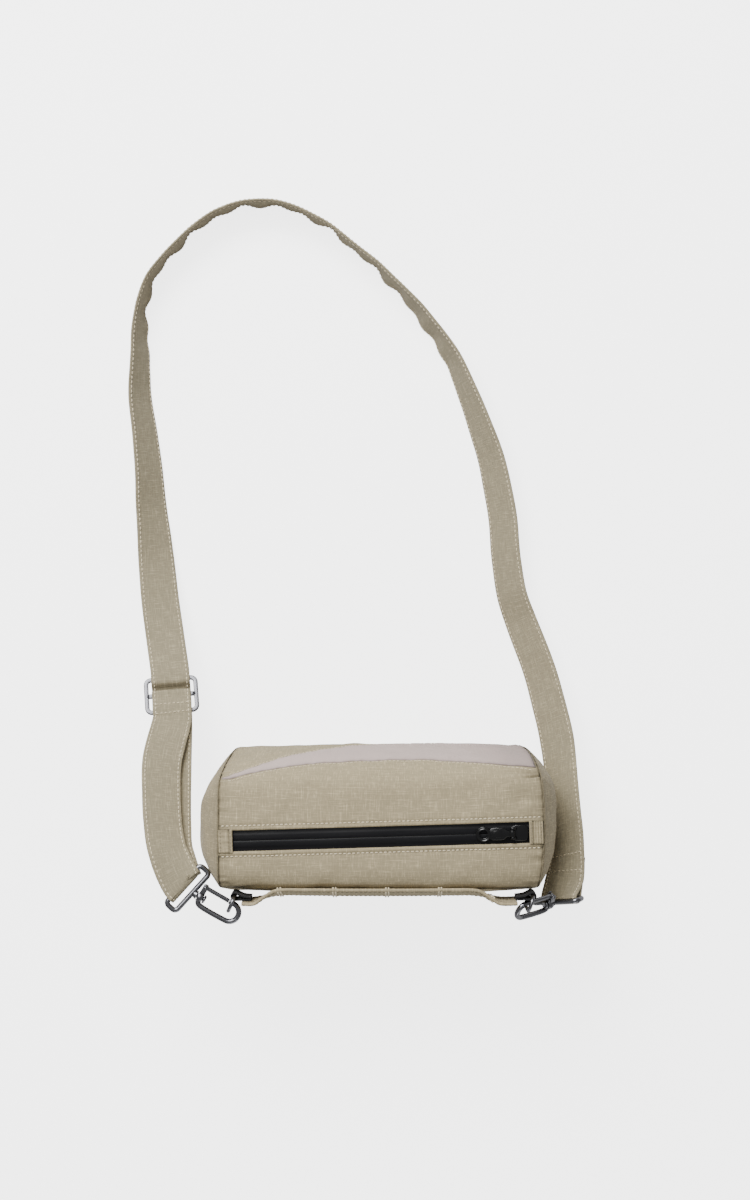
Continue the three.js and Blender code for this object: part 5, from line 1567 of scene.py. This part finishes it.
def fold_stations(middle, across, start, side):
    """Half a turn round a bar: middles on a half circle, all with one way across."""
    angle = HALF_TURN[:, None]
    at = middle + LOOP_FOLD * (np.cos(angle) * start + np.sin(angle) * side)
    return at, np.tile(across, (len(at), 1))


def route_stations():
    """The free run: the strip leans out of its way along by the row's lean."""
    lean = np.radians(STRAP_ROUTE[:, 3])
    resting = STRAP_WIDTH / 2 * np.sin(lean) + HALF_STRAP * np.cos(lean) + LAY_GAP
    z = np.where(STRAP_ROUTE[:, 2] > 0, STRAP_ROUTE[:, 2] * BAG_HEIGHT, resting)
    flat = STRAP_ROUTE[:, :2] * [LOOP_HALF_WIDTH, LOOP_REACH]
    ends = np.vstack([flat[:1], flat, flat[-1:]])
    along = ends[2:] - ends[:-2]
    out = unit(np.stack([along[:, 1], -along[:, 0]], -1))
    across = np.column_stack([out * np.cos(lean)[:, None], np.sin(lean)])
    return np.column_stack([flat, z]), across


def adjuster_stations(along, above):
    """Places in the adjuster's frame, all with the frame's way across."""
    at = ADJUSTER_AT + ADJUSTER_ALONG * (along * ADJUSTER_PITCH)[:, None] + ADJUSTER_FACE * above[:, None]
    return at, np.tile(-ADJUSTER_ACROSS, (len(at), 1))


def layer_stations(columns):
    """Places of one of the two layers, leaning by the last column."""
    at = DOUBLED_LAYERS[:, columns] * [LOOP_HALF_WIDTH, LOOP_REACH, BAG_HEIGHT]
    lean = np.radians(DOUBLED_LAYERS[:, 6])
    return at, np.stack([-np.cos(lean), 0 * lean, np.sin(lean)], -1)


def strap_stations():
    """All stations in order, and how many steps to make after each."""
    left, right = HOOKS["left"], HOOKS["right"]
    start = turned(right["far"], -right["loop_face"], right["fold_turn"])
    side = turned(-right["loop_face"], -right["far"], right["fold_turn"])
    right_fold = fold_stations(right["far_bar"], right["bar"], start, side)
    tail = right_fold[0][0] - side * np.array([STRAP_TAIL, STRAP_TAIL * 0.4])[:, None]
    tail = tail - right["bar"] * np.array([TAIL_SHIFT, TAIL_SHIFT * 0.3])[:, None]
    tail = (tail, np.tile(right["bar"], (2, 1)))
    under = -OVER_BAR - STRAP_THICKNESS - STRAP_GAP
    above = under + (OVER_BAR - under) * THREADED[:, 1]
    first_half = adjuster_stations(-THREADED[:0:-1, 0], above[:0:-1])
    second_half = adjuster_stations(THREADED[:, 0], above)
    back, back_across = layer_stations([3, 4, 5])
    front = layer_stations([0, 1, 2])
    left_start = -turned(left["loop_face"], left["far"], left["fold_turn"])
    left_side = -turned(left["far"], -left["loop_face"], left["fold_turn"])
    left_fold = fold_stations(left["far_bar"], -left["bar"], left_start, left_side)
    end = adjuster_stations(SEWN_END[:, 0], SEWN_END[:, 1] * OVER_BAR)
    groups = [
        (tail, 8), (right_fold, 4), (route_stations(), 12), (first_half, 3), (second_half, 3),
        ((back[::-1], back_across[::-1]), 12), (left_fold, 4), (front, 12), (end, 3),
    ]
    at = np.vstack([stations[0] for stations, _ in groups])
    across = np.vstack([stations[1] for stations, _ in groups])
    counts = [len(stations[0]) for stations, _ in groups]
    steps = np.repeat([step for _, step in groups], counts)
    return at, across, steps, np.cumsum([0] + counts[:-1])


# Places of the free run and of the sewn end in the list of groups above
ROUTE_GROUP = 2
END_GROUP = 8


def make_strap():
    """The strap on one smooth line through all stations. Small waves along its free run lift it a
    little, as soft cloth does, and where it stands upright its lower edge curls to and fro about its
    upper edge. A lower edge that would go under the surface is lifted to it."""
    at, across, steps, marks = strap_stations()
    places = [i + np.arange(n) / n for i, n in enumerate(steps[:-1])]
    places = np.append(np.concatenate(places), len(at) - 1)
    line = smooth_line(at, places)
    first = np.clip(np.floor(places).astype(int), 0, len(at) - 2)
    share = (places - first)[:, None]
    way = unit(across[first] * (1 - share) + across[first + 1] * share)
    run = distances(line)
    mark_run = np.interp(marks, places, run)
    from_start = run - mark_run[ROUTE_GROUP]
    to_end = mark_run[ROUTE_GROUP + 1] - run
    free = np.clip((from_start - STILL_REACH) / WAVES_START_OVER, 0, 1)
    free = free * np.clip((to_end - STILL_REACH) / WAVES_START_OVER, 0, 1)
    wave = 0.35 * np.sin(run * 0.043 + 1) + 0.25 * np.sin(run * 0.091 + 2) + 0.15 * np.sin(run * 0.17)
    up = unit(np.cross(tangents(line), way))
    line = line + up * (wave * free)[:, None]
    upright = np.clip((way[:, 2] - 0.9) / 0.08, 0, 1)
    curl = STRAP_CURL * (np.sin(run * 0.31) + 0.7 * np.sin(run * 0.19 + 1.3)) * upright * free
    curled = unit(way * np.cos(curl)[:, None] - up * np.sin(curl)[:, None])
    line = line + (way - curled) * (STRAP_WIDTH / 2)
    below = np.abs(curled[:, 2]) * STRAP_WIDTH / 2 + HALF_STRAP * np.hypot(curled[:, 0], curled[:, 1])
    line[:, 2] = np.maximum(line[:, 2], below)
    piece, run, way, up = ribbon("waist_strap", line, curled, STRAP_WIDTH, STRAP_THICKNESS, STRAP_CLOTH)
    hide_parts("strap")
    rows = strip_rows(line, way, up, STRAP_WIDTH / 2 - STRAP_STITCH_INSET, STRAP_THICKNESS)
    sewn("strap_edge_stitches", rows)
    mark_run = np.interp(marks, places, run)
    sewn_at = np.append(mark_run[ROUTE_GROUP] + TAIL_STITCHES, mark_run[END_GROUP] + END_STITCHES)
    rows = cross_rows(line, way, up, run, sewn_at, STRAP_WIDTH / 2 - CROSS_STITCH_INSET, STRAP_THICKNESS)
    sewn("strap_cross_stitches", rows, pitch=2.6, length=2.0, radius=0.34)


make_strap()


# Stage, light and camera

# The floor's reach is in metres
FLOOR_REACH = 60.0
FLOOR_GLOW = 3.5
WHITE = (1, 1, 1, 1)


def make_floor():
    """A plain pale floor. It glows for the view alone, so shadows on it stay faint and the object
    isn't lit from below."""
    material, tree, shader = finish(
        "pale_floor", 0.9, Base_Color=linear(222, 222, 222), Specular_IOR_Level=0.1, Emission_Color=WHITE)
    seen = add_node(tree, "ShaderNodeLightPath").outputs["Is Camera Ray"]
    tree.links.new(calc(tree, "MULTIPLY", seen, FLOOR_GLOW), shader.inputs["Emission Strength"])
    mesh = bpy.data.meshes.new("floor")
    corners = [(x * FLOOR_REACH, y * FLOOR_REACH, 0) for x, y in ((-1, -1), (1, -1), (1, 1), (-1, 1))]
    mesh.from_pydata(corners, [], [(0, 1, 2, 3)])
    mesh.materials.append(material)
    floor = bpy.data.objects.new("floor", mesh)
    bpy.context.scene.collection.objects.link(floor)


def area_light(name, at, towards, width, depth, power):
    """A soft light panel that faces a point. Places and sizes are in metres, power in watts."""
    light = bpy.data.lights.new(name, "AREA")
    light.shape = "RECTANGLE"
    light.size = width
    light.size_y = depth
    light.energy = power
    lamp = bpy.data.objects.new(name, light)
    lamp.location = at
    direction = np.array(towards, float) - np.array(at, float)
    turn = math.atan2(direction[1], direction[0])
    tilt = math.acos(-direction[2] / np.linalg.norm(direction))
    lamp.rotation_euler = (tilt, 0, turn - math.pi / 2)
    bpy.context.scene.collection.objects.link(lamp)


make_floor()
world = bpy.data.worlds.new("studio")
bpy.context.scene.world = world
world.use_nodes = True
world.node_tree.nodes["Background"].inputs["Color"].default_value = WHITE
world.node_tree.nodes["Background"].inputs["Strength"].default_value = 0.32
area_light("front_panel", at=(-0.45, 1.2, 1.15), towards=(0, 0.1, 0.05), width=0.9, depth=0.7, power=39)
area_light("overhead_panel", at=(-0.5, 0.6, 1.6), towards=(0, 0.1, 0), width=0.8, depth=0.8, power=8)
area_light("back_panel", at=(0.3, -1.3, 0.55), towards=(0, 0.1, 0.02), width=1.2, depth=0.5, power=5)

camera_data = bpy.data.cameras.new("camera")
camera_data.sensor_fit = "VERTICAL"
camera_data.sensor_height = SENSOR
camera_data.lens = SENSOR * CAMERA_HEIGHT / VIEW_HEIGHT_AT_FLOOR
camera_data.clip_end = 100
camera = bpy.data.objects.new("camera", camera_data)
camera.location = (CAMERA_X * MM, CAMERA_Y * MM, CAMERA_HEIGHT * MM)
bpy.context.scene.collection.objects.link(camera)
bpy.context.scene.camera = camera
